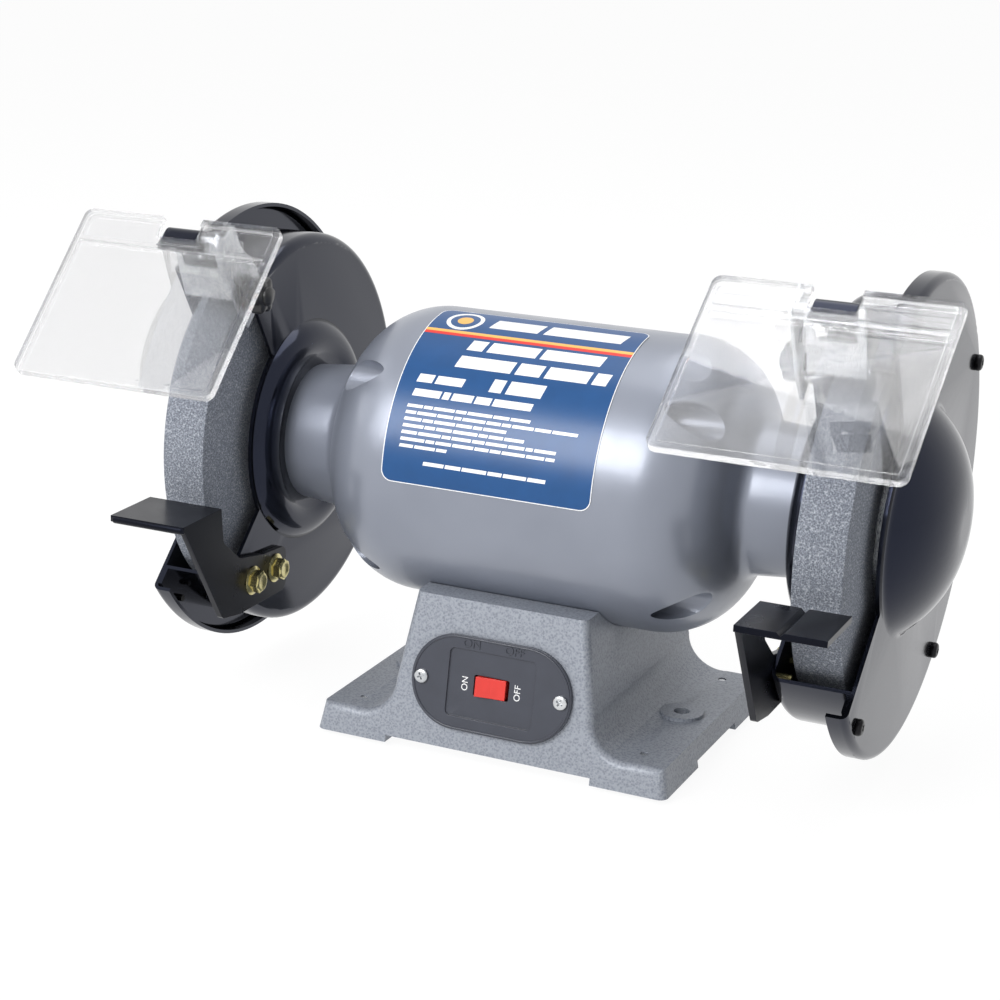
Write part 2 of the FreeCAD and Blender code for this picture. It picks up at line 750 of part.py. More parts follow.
def build_switch():
    turn = ("x", "90 - face_deg")

    def local(label, lift="0"):
        return new_body(label, "0", "-face_y - (%s) * cos(face_deg)" % lift,
                        "plate_z + (%s) * sin(face_deg)" % lift, turn)
    plate = local("switch_plate", "face_gap / 2")
    holes = [("%d * (plate_x - plate_screw_in)" % s, "0", "foot_screw_r + hole_gap") for s in (-1, 1)]
    window = round_box("0", "0", "rocker_x + hole_gap", "rocker_y + hole_gap", "1")
    sketch = new_sketch("plate_outline", "XY", body=plate, circles=holes, outlines=[
        round_box("0", "0", "plate_x", "plate_y", "(plate_y - 0.2)"), window])
    pad(plate, sketch, "plate_t")
    well = new_sketch("plate_well", "XY", "plate_t", plate, [
        round_box("0", "0", "plate_well_x", "plate_well_y", "3")])
    pocket(plate, well, "plate_well_depth")
    keep(plate, "switch_plate")

    seat = "plate_t + face_gap / 2"
    heads = []
    for s in (-1, 1):
        for kind, r, h, lift in (("head", "foot_head_r", "1.8", seat),
                                 ("shank", "foot_screw_r", "8", seat + " - 8")):
            obj = doc.addObject("Part::Cylinder", "plate_screw_%s_%d" % (kind, s + 1))
            bind(obj, "Radius", r)
            bind(obj, "Height", h)
            place(obj, "%d * (plate_x - plate_screw_in)" % s, "-face_y - (%s) * cos(face_deg)" % lift,
                  "plate_z + (%s) * sin(face_deg)" % lift, turn)
            heads.append(obj)
    keep(fuse("switch_screws", heads), "switch_screws")

    shell = local("switch_body")
    outer = round_box("0", "0", "rocker_x + switch_rim", "rocker_y + switch_rim", "0.8")
    sketch = new_sketch("switch_shell", "XY", "-switch_depth", shell, [outer])
    pad(shell, sketch, "switch_depth")
    inner = new_sketch("switch_pit", "XY", "0", shell, [
        round_box("0", "0", "rocker_x + hole_gap", "rocker_y + hole_gap", "0.5")])
    pocket(shell, inner, "rocker_x - 1")
    ends = new_sketch("switch_pivot_holes", "XZ", "-(rocker_y + switch_rim)", shell,
                      circles=[("0", "-rocker_pivot", "pivot_r + run_gap")])
    bores = shell.newObject("PartDesign::Pocket", "switch_pivot_bore")
    bores.Profile = ends
    bind(bores, "Length", "2 * (rocker_y + switch_rim)")
    bores.Reversed = True
    doc.recompute()
    keep(shell, "switch_body")

    rocker = local("switch_rocker")
    deep = "-rocker_x + 3"
    rise = "plate_t - plate_well_depth"
    sketch = new_sketch("rocker_profile", "XZ", "-(rocker_y)", rocker, [[
        ("-rocker_half", deep + " + 3"), ("0", deep), ("rocker_half", deep + " + 3"),
        ("rocker_half", rise + " + 0.4"), ("0", rise + " + 1.2"),
        ("-rocker_half", rise + " + rocker_out")]])
    pad(rocker, sketch, "2 * rocker_y")
    pin_sketch = new_sketch("rocker_pin", "XZ", "-(rocker_y + switch_rim - 0.3)", rocker,
                            circles=[("0", "-rocker_pivot", "pivot_r")])
    pad(rocker, pin_sketch, "2 * (rocker_y + switch_rim - 0.3)")
    keep(rocker, "switch_rocker")


# ----------------------------------------------------------------------- motor
def build_motor():
    shell = turned("stator_shell", [
        ("-stator_half", "motor_r - stator_wall"), ("stator_half", "motor_r - stator_wall"),
        ("stator_half", "motor_r"), ("-stator_half", "motor_r")])
    holes = new_sketch("shell_holes", "XY", "-motor_r", shell, circles=[
        ("%d * mount_screw_x" % s, "0", "mount_screw_r + hole_gap") for s in (-1, 1)])
    pocket(shell, holes, "motor_r / 2")
    keep(shell, "stator_shell")
    keep(turned("stator_core", [
        ("-core_half", "core_bore"), ("core_half", "core_bore"),
        ("core_half", "motor_r - stator_wall - hole_gap"),
        ("-core_half", "motor_r - stator_wall - hole_gap")]), "stator_core")
    coils = []
    for name, side in SIDES:
        start = "core_half + face_gap" if side > 0 else "-core_half - face_gap - coil_len"
        ring = doc.addObject("Part::Cylinder", "coil_" + name)
        bind(ring, "Radius", "coil_r_out")
        bind(ring, "Height", "coil_len")
        place(ring, start, z="axis_z", rotation=("y", 90))
        bore = cylinder("coil_bore_" + name, "coil_r_in", "coil_len + 2", start + " - 1",
                        z="axis_z", along="x")
        coils.append(cut("coil_ring_" + name, ring, [bore]))
    keep(fuse("stator_windings", coils), "stator_windings")
    keep(turned("rotor_core", [
        ("-core_half", "shaft_mid_r + seat_gap"), ("core_half", "shaft_mid_r + seat_gap"),
        ("core_half", "core_bore - 2 * air_gap - 8"), ("core_half + 8", "core_bore - 2 * air_gap - 8"),
        ("core_half + 8", "core_bore - 2 * air_gap"), ("-core_half - 8", "core_bore - 2 * air_gap"),
        ("-core_half - 8", "core_bore - 2 * air_gap - 8"),
        ("-core_half", "core_bore - 2 * air_gap - 8")]), "rotor_core")

    label = new_body("label_plate", z="axis_z")
    inner, outer = "(motor_r + face_gap / 2)", "(motor_r + face_gap / 2 + label_t)"
    low, high = "label_low_deg", "label_high_deg"
    corners = [
        ("-%s * cos(%s)" % (inner, low), "%s * sin(%s)" % (inner, low)),
        ("-%s * cos(%s)" % (outer, low), "%s * sin(%s)" % (outer, low)),
        ("-%s * cos(%s)" % (outer, high), "%s * sin(%s)" % (outer, high), outer, 1),
        ("-%s * cos(%s)" % (inner, high), "%s * sin(%s)" % (inner, high)),
    ]
    corners[0] = corners[0] + (inner, -1)
    sketch = new_sketch("label_profile", "YZ", "label_x - label_half", label, [corners])
    pad(label, sketch, "2 * label_half")
    keep(label, "label_plate")


def build_bell(name, side):
    ring = "bell_round"
    end_x = "bell_x + (%s) * bell_cos" % ring
    end_r = "bell_cr + (%s) * bell_sin" % ring
    neck_x = "bell_x + (bell_round + neck_fillet) * bell_cos"
    bell = turned(name + "_end_bell", [
        ("stator_half", "cavity_r"),
        ("stator_half", "motor_r"),
        ("bell_x", "motor_r"),
        (end_x, end_r, ring, 1),
        (neck_x, "neck_r", "neck_fillet", -1),
        ("neck_end_x", "neck_end_r"),
        ("neck_end_x", "hub_bore_r"),
        ("bearing_end", "hub_bore_r"),
        ("bearing_end", "bore_r + seat_gap"),
        ("bearing_in - 2", "bore_r + seat_gap"),
        ("bearing_in - 2", "neck_r - bell_wall"),
        ("%s - bell_wall / 2" % neck_x, "neck_r - bell_wall"),
        ("bell_x + bell_round * 0.55", "cavity_r"),
    ], side)
    pits = []
    for k in range(4):
        angle = "(tie_deg + %d)" % (90 * k)
        pits.append(("tie_r * cos(%s)" % angle, "tie_r * sin(%s)" % angle, "tie_pocket_r"))
    deep = new_sketch(name + "_tie_pits", "YZ", signed(side, "bell_x - bell_straight + tie_pocket_in"),
                      bell, circles=pits)
    hollow = bell.newObject("PartDesign::Pocket", name + "_tie_pit_cut")
    hollow.Profile = deep
    bind(hollow, "Length", "neck_end_x")
    hollow.Reversed = side > 0
    doc.recompute()
    holes = [(y, z, "tie_shank_r + hole_gap") for y, z, _ in pits]
    through = new_sketch(name + "_tie_holes", "YZ", signed(side, "stator_half"), bell, circles=holes)
    pocket(bell, through, "tie_pocket_in + 1")
    taps = []
    for k in range(3):
        angle = "(90 + %d)" % (120 * k)
        taps.append(("guard_screw_ring * cos(%s)" % angle, "guard_screw_ring * sin(%s)" % angle,
                     "guard_screw_r + seat_gap"))
    tapped = new_sketch(name + "_guard_taps", "YZ", signed(side, "neck_end_x"), bell, circles=taps)
    pocket(bell, tapped, "10")
    keep(bell, name + "_end_bell")
    seats = [(signed(side, "stator_half + tie_pocket_in"), y, "axis_z + " + z) for y, z, _ in pits]
    way = "-x" if side > 0 else "x"
    keep(screw_set(name + "_tie_screws", seats, way, "tie_head_r", "tie_head_h", "tie_shank_r",
                   "tie_pocket_in - 0.2"), name + "_tie_screws")


def build_shaft():
    half = [
        ("bearing_in - 0.05", "shaft_mid_r"),
        ("bearing_in - 0.05", "bearing_id / 2 - seat_gap"),
        ("bearing_end - 0.1", "bearing_id / 2 - seat_gap"),
        ("wheel_x - flange_t", "bearing_id / 2 - seat_gap"),
        ("wheel_x - flange_t", "arbor_r - run_gap"),
        ("shaft_end - 1.5", "arbor_r - run_gap"),
        ("shaft_end", "arbor_r - 1.5"),
    ]
    corners = [("-shaft_end", "0")]
    corners += [("-(%s)" % x, r) for x, r in reversed(half)]
    corners += half + [("shaft_end", "0")]
    keep(turned("rotor_shaft", corners), "rotor_shaft")


def build_bearing(name, side):
    wide = "bearing_w - 0.1"
    inner_end = "bearing_in + (%s)" % wide
    keep(turned(name + "_bearing_outer", [
        ("bearing_in", "bore_r - race_t"), (inner_end, "bore_r - race_t"),
        (inner_end, "bore_r - seat_gap"), ("bearing_in", "bore_r - seat_gap")], side),
        name + "_bearing_outer")
    ring = turned(name + "_bearing_race", [
        ("bearing_in", "bearing_id / 2"), (inner_end, "bearing_id / 2"),
        (inner_end, "bearing_id / 2 + race_t"), ("bearing_in", "bearing_id / 2 + race_t")], side)
    keep(ring, name + "_bearing_inner")
    ring.Label = name + "_bearing_inner"
    room = "(bore_r - bearing_id / 2 - 2 * race_t)"
    balls = []
    for k in range(SIZES["ball_count"]):
        angle = "(%s)" % (360.0 * k / SIZES["ball_count"])
        mid = "(bearing_id / 2 + race_t + %s / 2)" % room
        ball = doc.addObject("Part::Sphere", "%s_ball_%d" % (name, k + 1))
        bind(ball, "Radius", room + " / 2 - seat_gap")
        place(ball, signed(side, "bearing_in + (%s) / 2" % wide),
              "%s * cos(%s)" % (mid, angle), "axis_z + %s * sin(%s)" % (mid, angle))
        balls.append(ball)
    keep(fuse(name + "_bearing_balls", balls), name + "_bearing_balls")


def build_wheel(name, side):
    keep(turned(name + "_grinding_wheel", [
        ("wheel_x", "arbor_r"), ("wheel_x", "wheel_r - wheel_edge"), ("wheel_x + wheel_edge", "wheel_r"),
        ("wheel_out - wheel_edge", "wheel_r"), ("wheel_out", "wheel_r - wheel_edge"),
        ("wheel_out", "arbor_r")], side), name + "_grinding_wheel")
    keep(turned(name + "_inner_flange", [
        ("wheel_x - flange_t", "arbor_r"), ("wheel_x - flange_t", "flange_r - 4"),
        ("wheel_x - flange_t + 3", "flange_r"), ("wheel_x", "flange_r"),
        ("wheel_x", "flange_r - flange_land"),
        ("wheel_x - flange_relief", "flange_r - flange_land"),
        ("wheel_x - flange_relief", "arbor_r")], side), name + "_inner_flange")
    keep(turned(name + "_outer_flange", [
        ("nut_x", "arbor_r"), ("nut_x", "flange_r - 4"), ("nut_x - 3", "flange_r"),
        ("wheel_out", "flange_r"), ("wheel_out", "flange_r - flange_land"),
        ("wheel_out + flange_relief", "flange_r - flange_land"),
        ("wheel_out + flange_relief", "arbor_r")], side), name + "_outer_flange")
    nut = doc.addObject("Part::Prism", name + "_nut_block")
    nut.Polygon = 6
    bind(nut, "Circumradius", "nut_af / sqrt(3)")
    bind(nut, "Height", "nut_t")
    start = "nut_x" if side > 0 else "-nut_x - nut_t"
    place(nut, start, z="axis_z", rotation=("y", 90))
    bore = cylinder(name + "_nut_bore", "arbor_r", "nut_t + 2", start + " - 1", z="axis_z", along="x")
    keep(cut(name + "_wheel_nut", nut, [bore]), name + "_wheel_nut")


# ---------------------------------------------------------------------- guards
def mouth():
    """Front opening of a guard, as an outline in the plane of the wheel's face."""
    def polar(r, a, up):
        return ("-(%s) * cos(%s)" % (r, a), "%s(%s) * sin(%s)" % ("" if up else "-", r, a))
    return [
        polar("mouth_r", "mouth_low_in", False),
        polar("mouth_r", "mouth_up_in", True) + ("mouth_r", 1),
        polar("mouth_reach", "mouth_up_out", True),
        ("-1.6 * mouth_reach", "0"),
        polar("mouth_reach", "mouth_low_out", False),
    ]


def build_guard(name, side):
    drum = turned(name + "_drum_shell", [
        ("neck_end_x", "hub_bore_r"),
        ("neck_end_x", "bead_in_r"),
        ("drum_x", "bead_out_r", "bead_round", 1),
        ("drum_x", "drum_r"),
        ("drum_end", "drum_r"),
        ("drum_end", "drum_flange_r"),
        ("cover_in", "drum_flange_r"),
        ("cover_in", "drum_r - sheet_t"),
        ("drum_x + sheet_t", "drum_r - sheet_t"),
        ("drum_x + sheet_t", "bead_out_r"),
        ("neck_end_x + sheet_t", "bead_in_r", "bead_round", -1),
        ("neck_end_x + sheet_t", "hub_bore_r"),
    ], side)
    outer = [(signed(side, "drum_x"), "drum_r")]
    dress(drum, "Fillet", ring_edge(outer), "drum_round")
    inner = [(signed(side, "drum_x + sheet_t"), "drum_r - sheet_t")]
    dress(drum, "Fillet", ring_edge(inner), "drum_round - sheet_t")
    gap = new_sketch(name + "_drum_mouth", "YZ", signed(side, "neck_end_x - bead_round"), drum, [mouth()])
    hollow = drum.newObject("PartDesign::Pocket", name + "_drum_mouth_cut")
    hollow.Profile = gap
    bind(hollow, "Length", "cover_x")
    hollow.Reversed = side > 0
    doc.recompute()
    ear = new_sketch(name + "_knob_ear", "YZ", signed(side, "drum_x"), drum, [ear_outline()])
    pad(drum, ear, "sheet_t", side < 0)
    lug = new_sketch(name + "_spark_lug", "YZ", signed(side, "spark_mid - spark_w / 2 + 4"), drum,
                     [lug_outline()])
    pad(drum, lug, "spark_w - 8", side < 0)
    holes = []
    for k in range(3):
        angle = "(90 + %d)" % (120 * k)
        holes.append(("guard_screw_ring * cos(%s)" % angle, "guard_screw_ring * sin(%s)" % angle,
                      "guard_screw_r + hole_gap"))
    for y in ("rest_bolt_y", "rest_bolt_y2"):
        holes.append(("-" + y, "-rest_bolt_z", "rest_bolt_r + hole_gap"))
    holes.append(("-knob_y", "knob_z", "rod_r + hole_gap"))
    drilled = new_sketch(name + "_drum_holes", "YZ", signed(side, "neck_end_x - bead_round"), drum,
                         circles=holes)
    bores = drum.newObject("PartDesign::Pocket", name + "_drum_hole_cut")
    bores.Profile = drilled
    bind(bores, "Length", "drum_x + sheet_t + 2 - neck_end_x + bead_round")
    bores.Reversed = side > 0
    doc.recompute()
    flange_holes = new_sketch(name + "_rim_holes", "YZ", signed(side, "drum_end"), drum,
                              circles=[(y, z, "cover_screw_r + seat_gap") for y, z in cover_spots()])
    rim_cut = drum.newObject("PartDesign::Pocket", name + "_rim_hole_cut")
    rim_cut.Profile = flange_holes
    bind(rim_cut, "Length", "sheet_t + 1")
    rim_cut.Reversed = side > 0
    doc.recompute()
    keep(cut(name + "_drum", drum, lug_holes(name, side)), name + "_guard_drum")

    apex = "cover_x + dome_h"
    span, inner_span = "(dome_r - dome_flat)", "(dome_r - dome_flat - cover_t)"
    radius = "(%s * %s + dome_h * dome_h) / (2 * dome_h)" % (span, span)
    inner_r = "(%s * %s + dome_h * dome_h) / (2 * dome_h)" % (inner_span, inner_span)
    cover = turned(name + "_guard_cover", [
        (apex, "0"),
        (apex, "dome_flat"),
        ("cover_x", "dome_r", radius, -1),
        ("cover_x", "cover_r"),
        ("cover_x - cover_rim", "cover_r"),
        ("cover_x - cover_rim", "cover_r - cover_t"),
        ("cover_in", "cover_r - cover_t"),
        ("cover_in", "dome_r - cover_t"),
        (apex + " - cover_t", "dome_flat", inner_r, 1),
        (apex + " - cover_t", "0"),
    ], side)
    places = [(signed(side, "cover_x"), "cover_r")]
    dress(cover, "Fillet", ring_edge(places), "cover_round")
    places = [(signed(side, "cover_in"), "cover_r - cover_t")]
    dress(cover, "Fillet", ring_edge(places), "cover_round - cover_t")
    places = [(signed(side, "cover_x"), "dome_r")]
    dress(cover, "Fillet", ring_edge(places), "dome_fillet")
    gap = new_sketch(name + "_cover_mouth", "YZ", signed(side, "cover_x - cover_rim - 1"), cover, [mouth()])
    hollow = cover.newObject("PartDesign::Pocket", name + "_cover_mouth_cut")
    hollow.Profile = gap
    bind(hollow, "Length", "cover_rim + dome_h + 2")
    hollow.Reversed = side > 0
    doc.recompute()
    holes = [(y, z, "cover_screw_r + hole_gap") for y, z in cover_spots()]
    drilled = new_sketch(name + "_cover_holes", "YZ", signed(side, "cover_in"), cover, circles=holes)
    pocket(cover, drilled, "cover_t")
    keep(cover, name + "_guard_cover")

    seats = [(signed(side, "cover_x"), y, "axis_z + " + z) for y, z in cover_spots()]
    way = "-x" if side > 0 else "x"
    keep(screw_set(name + "_cover_screws", seats, way, "cover_head_r", "cover_head_h",
                   "cover_screw_r", "cover_t + sheet_t + 3"), name + "_cover_screws")
    seats = []
    for k in range(3):
        angle = "(90 + %d)" % (120 * k)
        seats.append((signed(side, "neck_end_x + sheet_t"), "guard_screw_ring * cos(%s)" % angle,
                      "axis_z + guard_screw_ring * sin(%s)" % angle))
    keep(screw_set(name + "_guard_screws", seats, way, "guard_head_r", "guard_head_h",
                   "guard_screw_r", "sheet_t + 8"), name + "_guard_screws")


def cover_spots():
    """Cover screws on their ring; angles run from the back upwards."""
    spots = []
    for angle in (32, 112, 227, 307):
        spots.append(("cover_screw_ring * cos(%d)" % angle, "cover_screw_ring * sin(%d)" % angle))
    return spots


def ear_outline():
    """Tab of the inner plate that carries the shield bracket's knob."""
    return [
        ("-knob_y - 9", "knob_z - 4"), ("-knob_y - 9", "knob_z + 5"), ("-knob_y - 3", "knob_z + 11"),
        ("-knob_y + 20", "knob_z + 9"), ("-knob_y + 26", "knob_z - 12"), ("-knob_y + 6", "knob_z - 12")]


def top_line(along, down="0"):
    """Point on the arrestor's top plate: distance forward from its start, depth below it."""
    y = "-spark_start_y - (%s) * cos(spark_slope) + (%s) * sin(spark_slope) * -1" % (along, down)
    z = "spark_start_z + (%s) * sin(spark_slope) - (%s) * cos(spark_slope)" % (along, down)
    return (y, z)


def lug_outline():
    """Bracket on the drum's band under the arrestor's top plate."""
    low = "(drum_r - 0.6)"
    return [
        top_line("0", "lug_t"), top_line("4", "face_gap"), top_line("spark_top_len - 12", "face_gap"),
        top_line("spark_top_len - 12", "face_gap + lug_t"), top_line("12", "face_gap + lug_t"),
        ("-%s * cos(62)" % low, "%s * sin(62)" % low), ("-%s * cos(67)" % low, "%s * sin(67)" % low)]


# ------------------------------------------------------------------ tool rests
def build_rest(name, side):
    rest = new_body(name + "_tool_rest", z="axis_z")
    arm = [
        ("-rest_front + 2", "-rest_drop"), ("-rest_front + 2", "-rest_drop - rest_t"),
        ("-rest_bolt_y - 33", "-rest_low + 3"), ("-rest_bolt_y - 14", "-rest_low"),
        ("-rest_back_y", "-rest_low"), ("-rest_back_y", "-rest_bolt_z + 10"),
        ("-rest_bolt_y2 - 14", "-rest_bolt_z + 12"), ("-rest_bolt_y - 14", "-rest_bolt_z + 17"),
        ("-rest_rear + 2", "-rest_drop - 20"), ("-rest_rear", "-rest_drop")]
    sketch = new_sketch(name + "_rest_arm", "YZ", signed(side, "rest_x"), rest, [arm])
    pad(rest, sketch, "rest_t", side < 0)
    dress(rest, "Fillet", line_edge("x", [arm[2], arm[4], arm[5], arm[6], arm[7], arm[8]]), "5")
    top = [
        (signed(side, "rest_x"), "-rest_front"), (signed(side, "rest_x + rest_width"), "-rest_front"),
        (signed(side, "rest_x + rest_width"), "-rest_rear"), (signed(side, "rest_x"), "-rest_rear")]
    table = new_sketch(name + "_rest_table", "XY", "-rest_drop - rest_t", rest, [top])
    pad(rest, table, "rest_t")
    if side > 0:
        mid = "rest_x + rest_width / 2"
        notch = new_sketch(name + "_rest_groove", "XZ", "rest_front + 1", rest, [[
            (mid, "-rest_drop - rest_t * 0.6"), (mid + " + groove_w / 2", "-rest_drop + 0.5"),
            (mid + " - groove_w / 2", "-rest_drop + 0.5")]])
        groove = rest.newObject("PartDesign::Pocket", name + "_rest_groove_cut")
        groove.Profile = notch
        bind(groove, "Length", "rest_depth + 2")
        doc.recompute()
    slots = []
    for y in ("rest_bolt_y", "rest_bolt_y2"):
        slots.append(round_box("-" + y, "-rest_bolt_z", "rest_bolt_r + hole_gap + rest_travel",
                               "rest_bolt_r + hole_gap", "(rest_bolt_r + hole_gap - 0.05)"))
    slotted = new_sketch(name + "_rest_slots", "YZ", signed(side, "rest_x"), rest, slots)
    cutter = rest.newObject("PartDesign::Pocket", name + "_rest_slot_cut")
    cutter.Profile = slotted
    bind(cutter, "Length", "rest_t")
    cutter.Reversed = side > 0
    doc.recompute()
    keep(rest, name + "_tool_rest")
    seats = [(signed(side, "rest_x - face_gap"), "-" + y, "axis_z - rest_bolt_z")
             for y in ("rest_bolt_y", "rest_bolt_y2")]
    way = "x" if side > 0 else "-x"
    bolts = screw_set(name + "_rest_heads", seats, way, "rest_head_r", "5", "rest_bolt_r",
                      "rest_t + sheet_t + 2 * face_gap + 4.4", True)
    backs = []
    for i, y in enumerate(("rest_bolt_y", "rest_bolt_y2"), 1):
        start = "drum_x + sheet_t" if side > 0 else "-drum_x - sheet_t - 4"
        nut = doc.addObject("Part::Prism", "%s_rest_nut_%d" % (name, i))
        nut.Polygon = 6
        bind(nut, "Circumradius", "rest_bolt_r * 1.8")
        nut.Height = 4
        place(nut, start, "-" + y, "axis_z - rest_bolt_z", ("y", 90))
        backs.append(nut)
    keep(fuse(name + "_rest_bolts", [bolts] + backs), name + "_rest_bolts")


# -------------------------------------------------- spark arrestors and shields
def build_spark(name, side):
    body = new_body(name + "_spark_sheet", z="axis_z")
    corner = top_line("spark_top_len")
    thick = "spark_t"
    front = ("%s + spark_front_len * cos(spark_lean)" % corner[0],
             "%s - spark_front_len * sin(spark_lean)" % corner[1])
    outer = (corner[0] + " - spark_t * 1.1", corner[1] + " + spark_t * 0.6")
    profile = [
        top_line("0"), corner, front,
        (front[0] + " - spark_t * sin(spark_lean)", front[1] + " - spark_t * cos(spark_lean)"),
        outer, top_line("0", "-spark_t")]
    sketch = new_sketch(name + "_spark_profile", "YZ", signed(side, "spark_mid - spark_w / 2"), body,
                        [profile])
    pad(body, sketch, "spark_w", side < 0)
    turn = ("x", "-spark_slope")
    window = new_body(name + "_spark_window", signed(side, "spark_mid"), front[0],
                      "axis_z + " + front[1], ("x", "90 - spark_lean + 90"))
    lift = "spark_front_len * 0.72"
    pane = new_sketch(name + "_spark_pane", "XY", "-3 * spark_t", window, [
        round_box("0", lift, "spark_w * 0.36", "spark_front_len * 0.15", "1")])
    pad(window, pane, "6 * spark_t")
    tools = [window]
    screws = []
    seat = "spark_t + face_gap"
    for i, shift in enumerate(("-spark_w / 4", "spark_w / 4"), 1):
        middle = signed(side, "spark_mid + " + shift)
        spot = top_line("spark_screw_at")
        slot = new_body("%s_spark_slot_%d" % (name, i), middle, spot[0], "axis_z + " + spot[1], turn)
        wide = "spark_screw_r + hole_gap"
        outline = new_sketch("%s_spark_slot_line_%d" % (name, i), "XY", "-1", slot, [
            round_box("0", "-spark_travel / 2", wide, "%s + spark_travel / 2" % wide,
                      "(%s - 0.05)" % wide)])
        pad(slot, outline, "spark_t + 2")
        tools.append(slot)
        spot = top_line("spark_screw_at", "-(%s)" % seat)
        for kind, r, h, down in (
                ("head", "spark_screw_r + 2.2", "1.6", "-(%s) - 1.6" % seat),
                ("shank", "spark_screw_r", "spark_t + lug_t + 2 * face_gap + 2", "-(%s)" % seat)):
            start = top_line("spark_screw_at", down)
            piece = doc.addObject("Part::Cylinder", "%s_spark_%s_%d" % (name, kind, i))
            bind(piece, "Radius", r)
            bind(piece, "Height", h)
            place(piece, middle, start[0], "axis_z + " + start[1], ("x", "180 - spark_slope"))
            screws.append(piece)
    keep(cut(name + "_spark_plate", body, tools), name + "_spark_arrestor")
    keep(fuse(name + "_spark_screws", screws), name + "_spark_screws")


def lug_holes(name, side):
    holes = []
    for i, shift in enumerate(("-spark_w / 4", "spark_w / 4"), 1):
        spot = top_line("spark_screw_at", "-1")
        hole = doc.addObject("Part::Cylinder", "%s_lug_hole_%d" % (name, i))
        bind(hole, "Radius", "spark_screw_r + seat_gap")
        bind(hole, "Height", "lug_t + 9")
        place(hole, signed(side, "spark_mid + " + shift), spot[0], "axis_z + " + spot[1],
              ("x", "180 - spark_slope"))
        holes.append(hole)
    return holes


def build_shield(name, side):
    plate = slab(name + "_shield_bracket", side, "drum_x - face_gap - bracket_t", "bracket_t", [[
        ("-hinge_y + bracket_end", "hinge_z + 2"), ("-hinge_y - 1", "hinge_z + bracket_end"),
        ("-hinge_y - bracket_end", "hinge_z - 1"), ("-hinge_y - 1", "hinge_z - bracket_end - 1"),
        ("-knob_y - 15", "knob_z - 6"), ("-knob_y - 4", "knob_z - 18"), ("-knob_y + 10", "knob_z - 5"),
        ("-knob_y + 8", "knob_z + 12"), ("-hinge_y + 20", "hinge_z - 4"), ("-hinge_y + 14", "hinge_z + 8")
    ]], [("-knob_y", "knob_z", "rod_r + hole_gap")])
    rod = new_sketch(name + "_rod", "YZ", signed(side, "drum_x - face_gap - bracket_t"), plate,
                     circles=[("-hinge_y", "hinge_z", "rod_r")])
    pad(plate, rod, "shield_x + clamp_len / 2 + 3 - drum_x + face_gap + bracket_t", side < 0)
    keep(plate, name + "_shield_bracket")

    knob_in = "drum_x - face_gap - bracket_t - face_gap"
    knob = new_body(name + "_shield_knob", y="-knob_y", z="axis_z + knob_z")
    lobes = new_sketch(name + "_knob_grip", "YZ", signed(side, knob_in + " - knob_t"), knob,
                       circles=[("0", "0", "knob_r")])
    pad(knob, lobes, "knob_t", side < 0)
    stem = new_sketch(name + "_knob_stem", "YZ", signed(side, knob_in + " - 1"), knob,
                      circles=[("0", "0", "rod_r")])
    pad(knob, stem, "1 + bracket_t + sheet_t + 2 * face_gap", side < 0)
    keep(knob, name + "_shield_knob")

    turn = ("x", "-90 - %s_tilt" % name)
    clamp = new_body(name + "_shield_clamp", signed(side, "shield_x"), "-hinge_y", "axis_z + hinge_z", turn)
    tube = new_sketch(name + "_clamp_tube", "YZ", "-clamp_len / 2", clamp,
                      circles=[("0", "0", "clamp_r"), ("0", "0", "rod_r + run_gap")])
    pad(clamp, tube, "clamp_len")
    front = "clamp_r + face_gap"
    tongue = new_sketch(name + "_clamp_tongue", "XZ", "0", clamp, [[
        ("-clamp_len / 2", "-(clamp_r)"), ("clamp_len / 2", "-(clamp_r)"),
        ("clamp_len / 2", "-(rod_r + 1)"), ("-clamp_len / 2", "-(rod_r + 1)")]])
    flap = clamp.newObject("PartDesign::Pad", name + "_clamp_flap")
    flap.Profile = tongue
    bind(flap, "Length", "clamp_r + clamp_flap")
    flap.Reversed = True
    doc.recompute()
    keep(clamp, name + "_shield_clamp")

    shield = new_body(name + "_shield", signed(side, "shield_x"), "-hinge_y", "axis_z + hinge_z", turn)
    middle = "(shield_below - shield_above) / 2"
    half = "(shield_below + shield_above) / 2"
    frame = round_box("0", middle, "shield_w / 2", half, "shield_corner")
    plain = new_sketch(name + "_shield_sheet", "XY", "-(%s) - shield_t" % front, shield, [frame])
    pad(shield, plain, "shield_t")
    rib = new_sketch(name + "_shield_rib", "XY", "-(%s) - shield_t - shield_rib" % front, shield, [
        frame, round_box("0", middle, "shield_w / 2 - shield_rib_w", half + " - shield_rib_w",
                         "(shield_corner - 3)")])
    pad(shield, rib, "shield_rib")
    rail = new_sketch(name + "_shield_rail", "XY", "-(%s) - shield_t - shield_rib" % front, shield, [
        round_box("0", "shield_rail", "shield_w / 2 - 1", "shield_rib_w / 3", "0.5")])
    pad(shield, rail, "shield_rib")
    room = "clamp_len / 2 + notch_gap"
    notch = new_sketch(name + "_shield_notch", "XY", "-(%s) - 2 * shield_t" % front, shield, [[
        ("-(%s)" % room, "-shield_above - 1"), (room, "-shield_above - 1"),
        (room, "notch_deep"), ("-(%s)" % room, "notch_deep")]])
    hollow = shield.newObject("PartDesign::Pocket", name + "_shield_notch_cut")
    hollow.Profile = notch
    bind(hollow, "Length", "3 * shield_t")
    hollow.Reversed = True
    doc.recompute()
    keep(shield, name + "_shield")


# ------------------------------------------------------------------- all of it
build_base()
build_switch()
build_motor()
build_shaft()
for side_name, side_sign in SIDES:
    build_bell(side_name, side_sign)
    build_bearing(side_name, side_sign)
    build_wheel(side_name, side_sign)
    build_guard(side_name, side_sign)
    build_rest(side_name, side_sign)
    build_spark(side_name, side_sign)
    build_shield(side_name, side_sign)
doc.recompute()

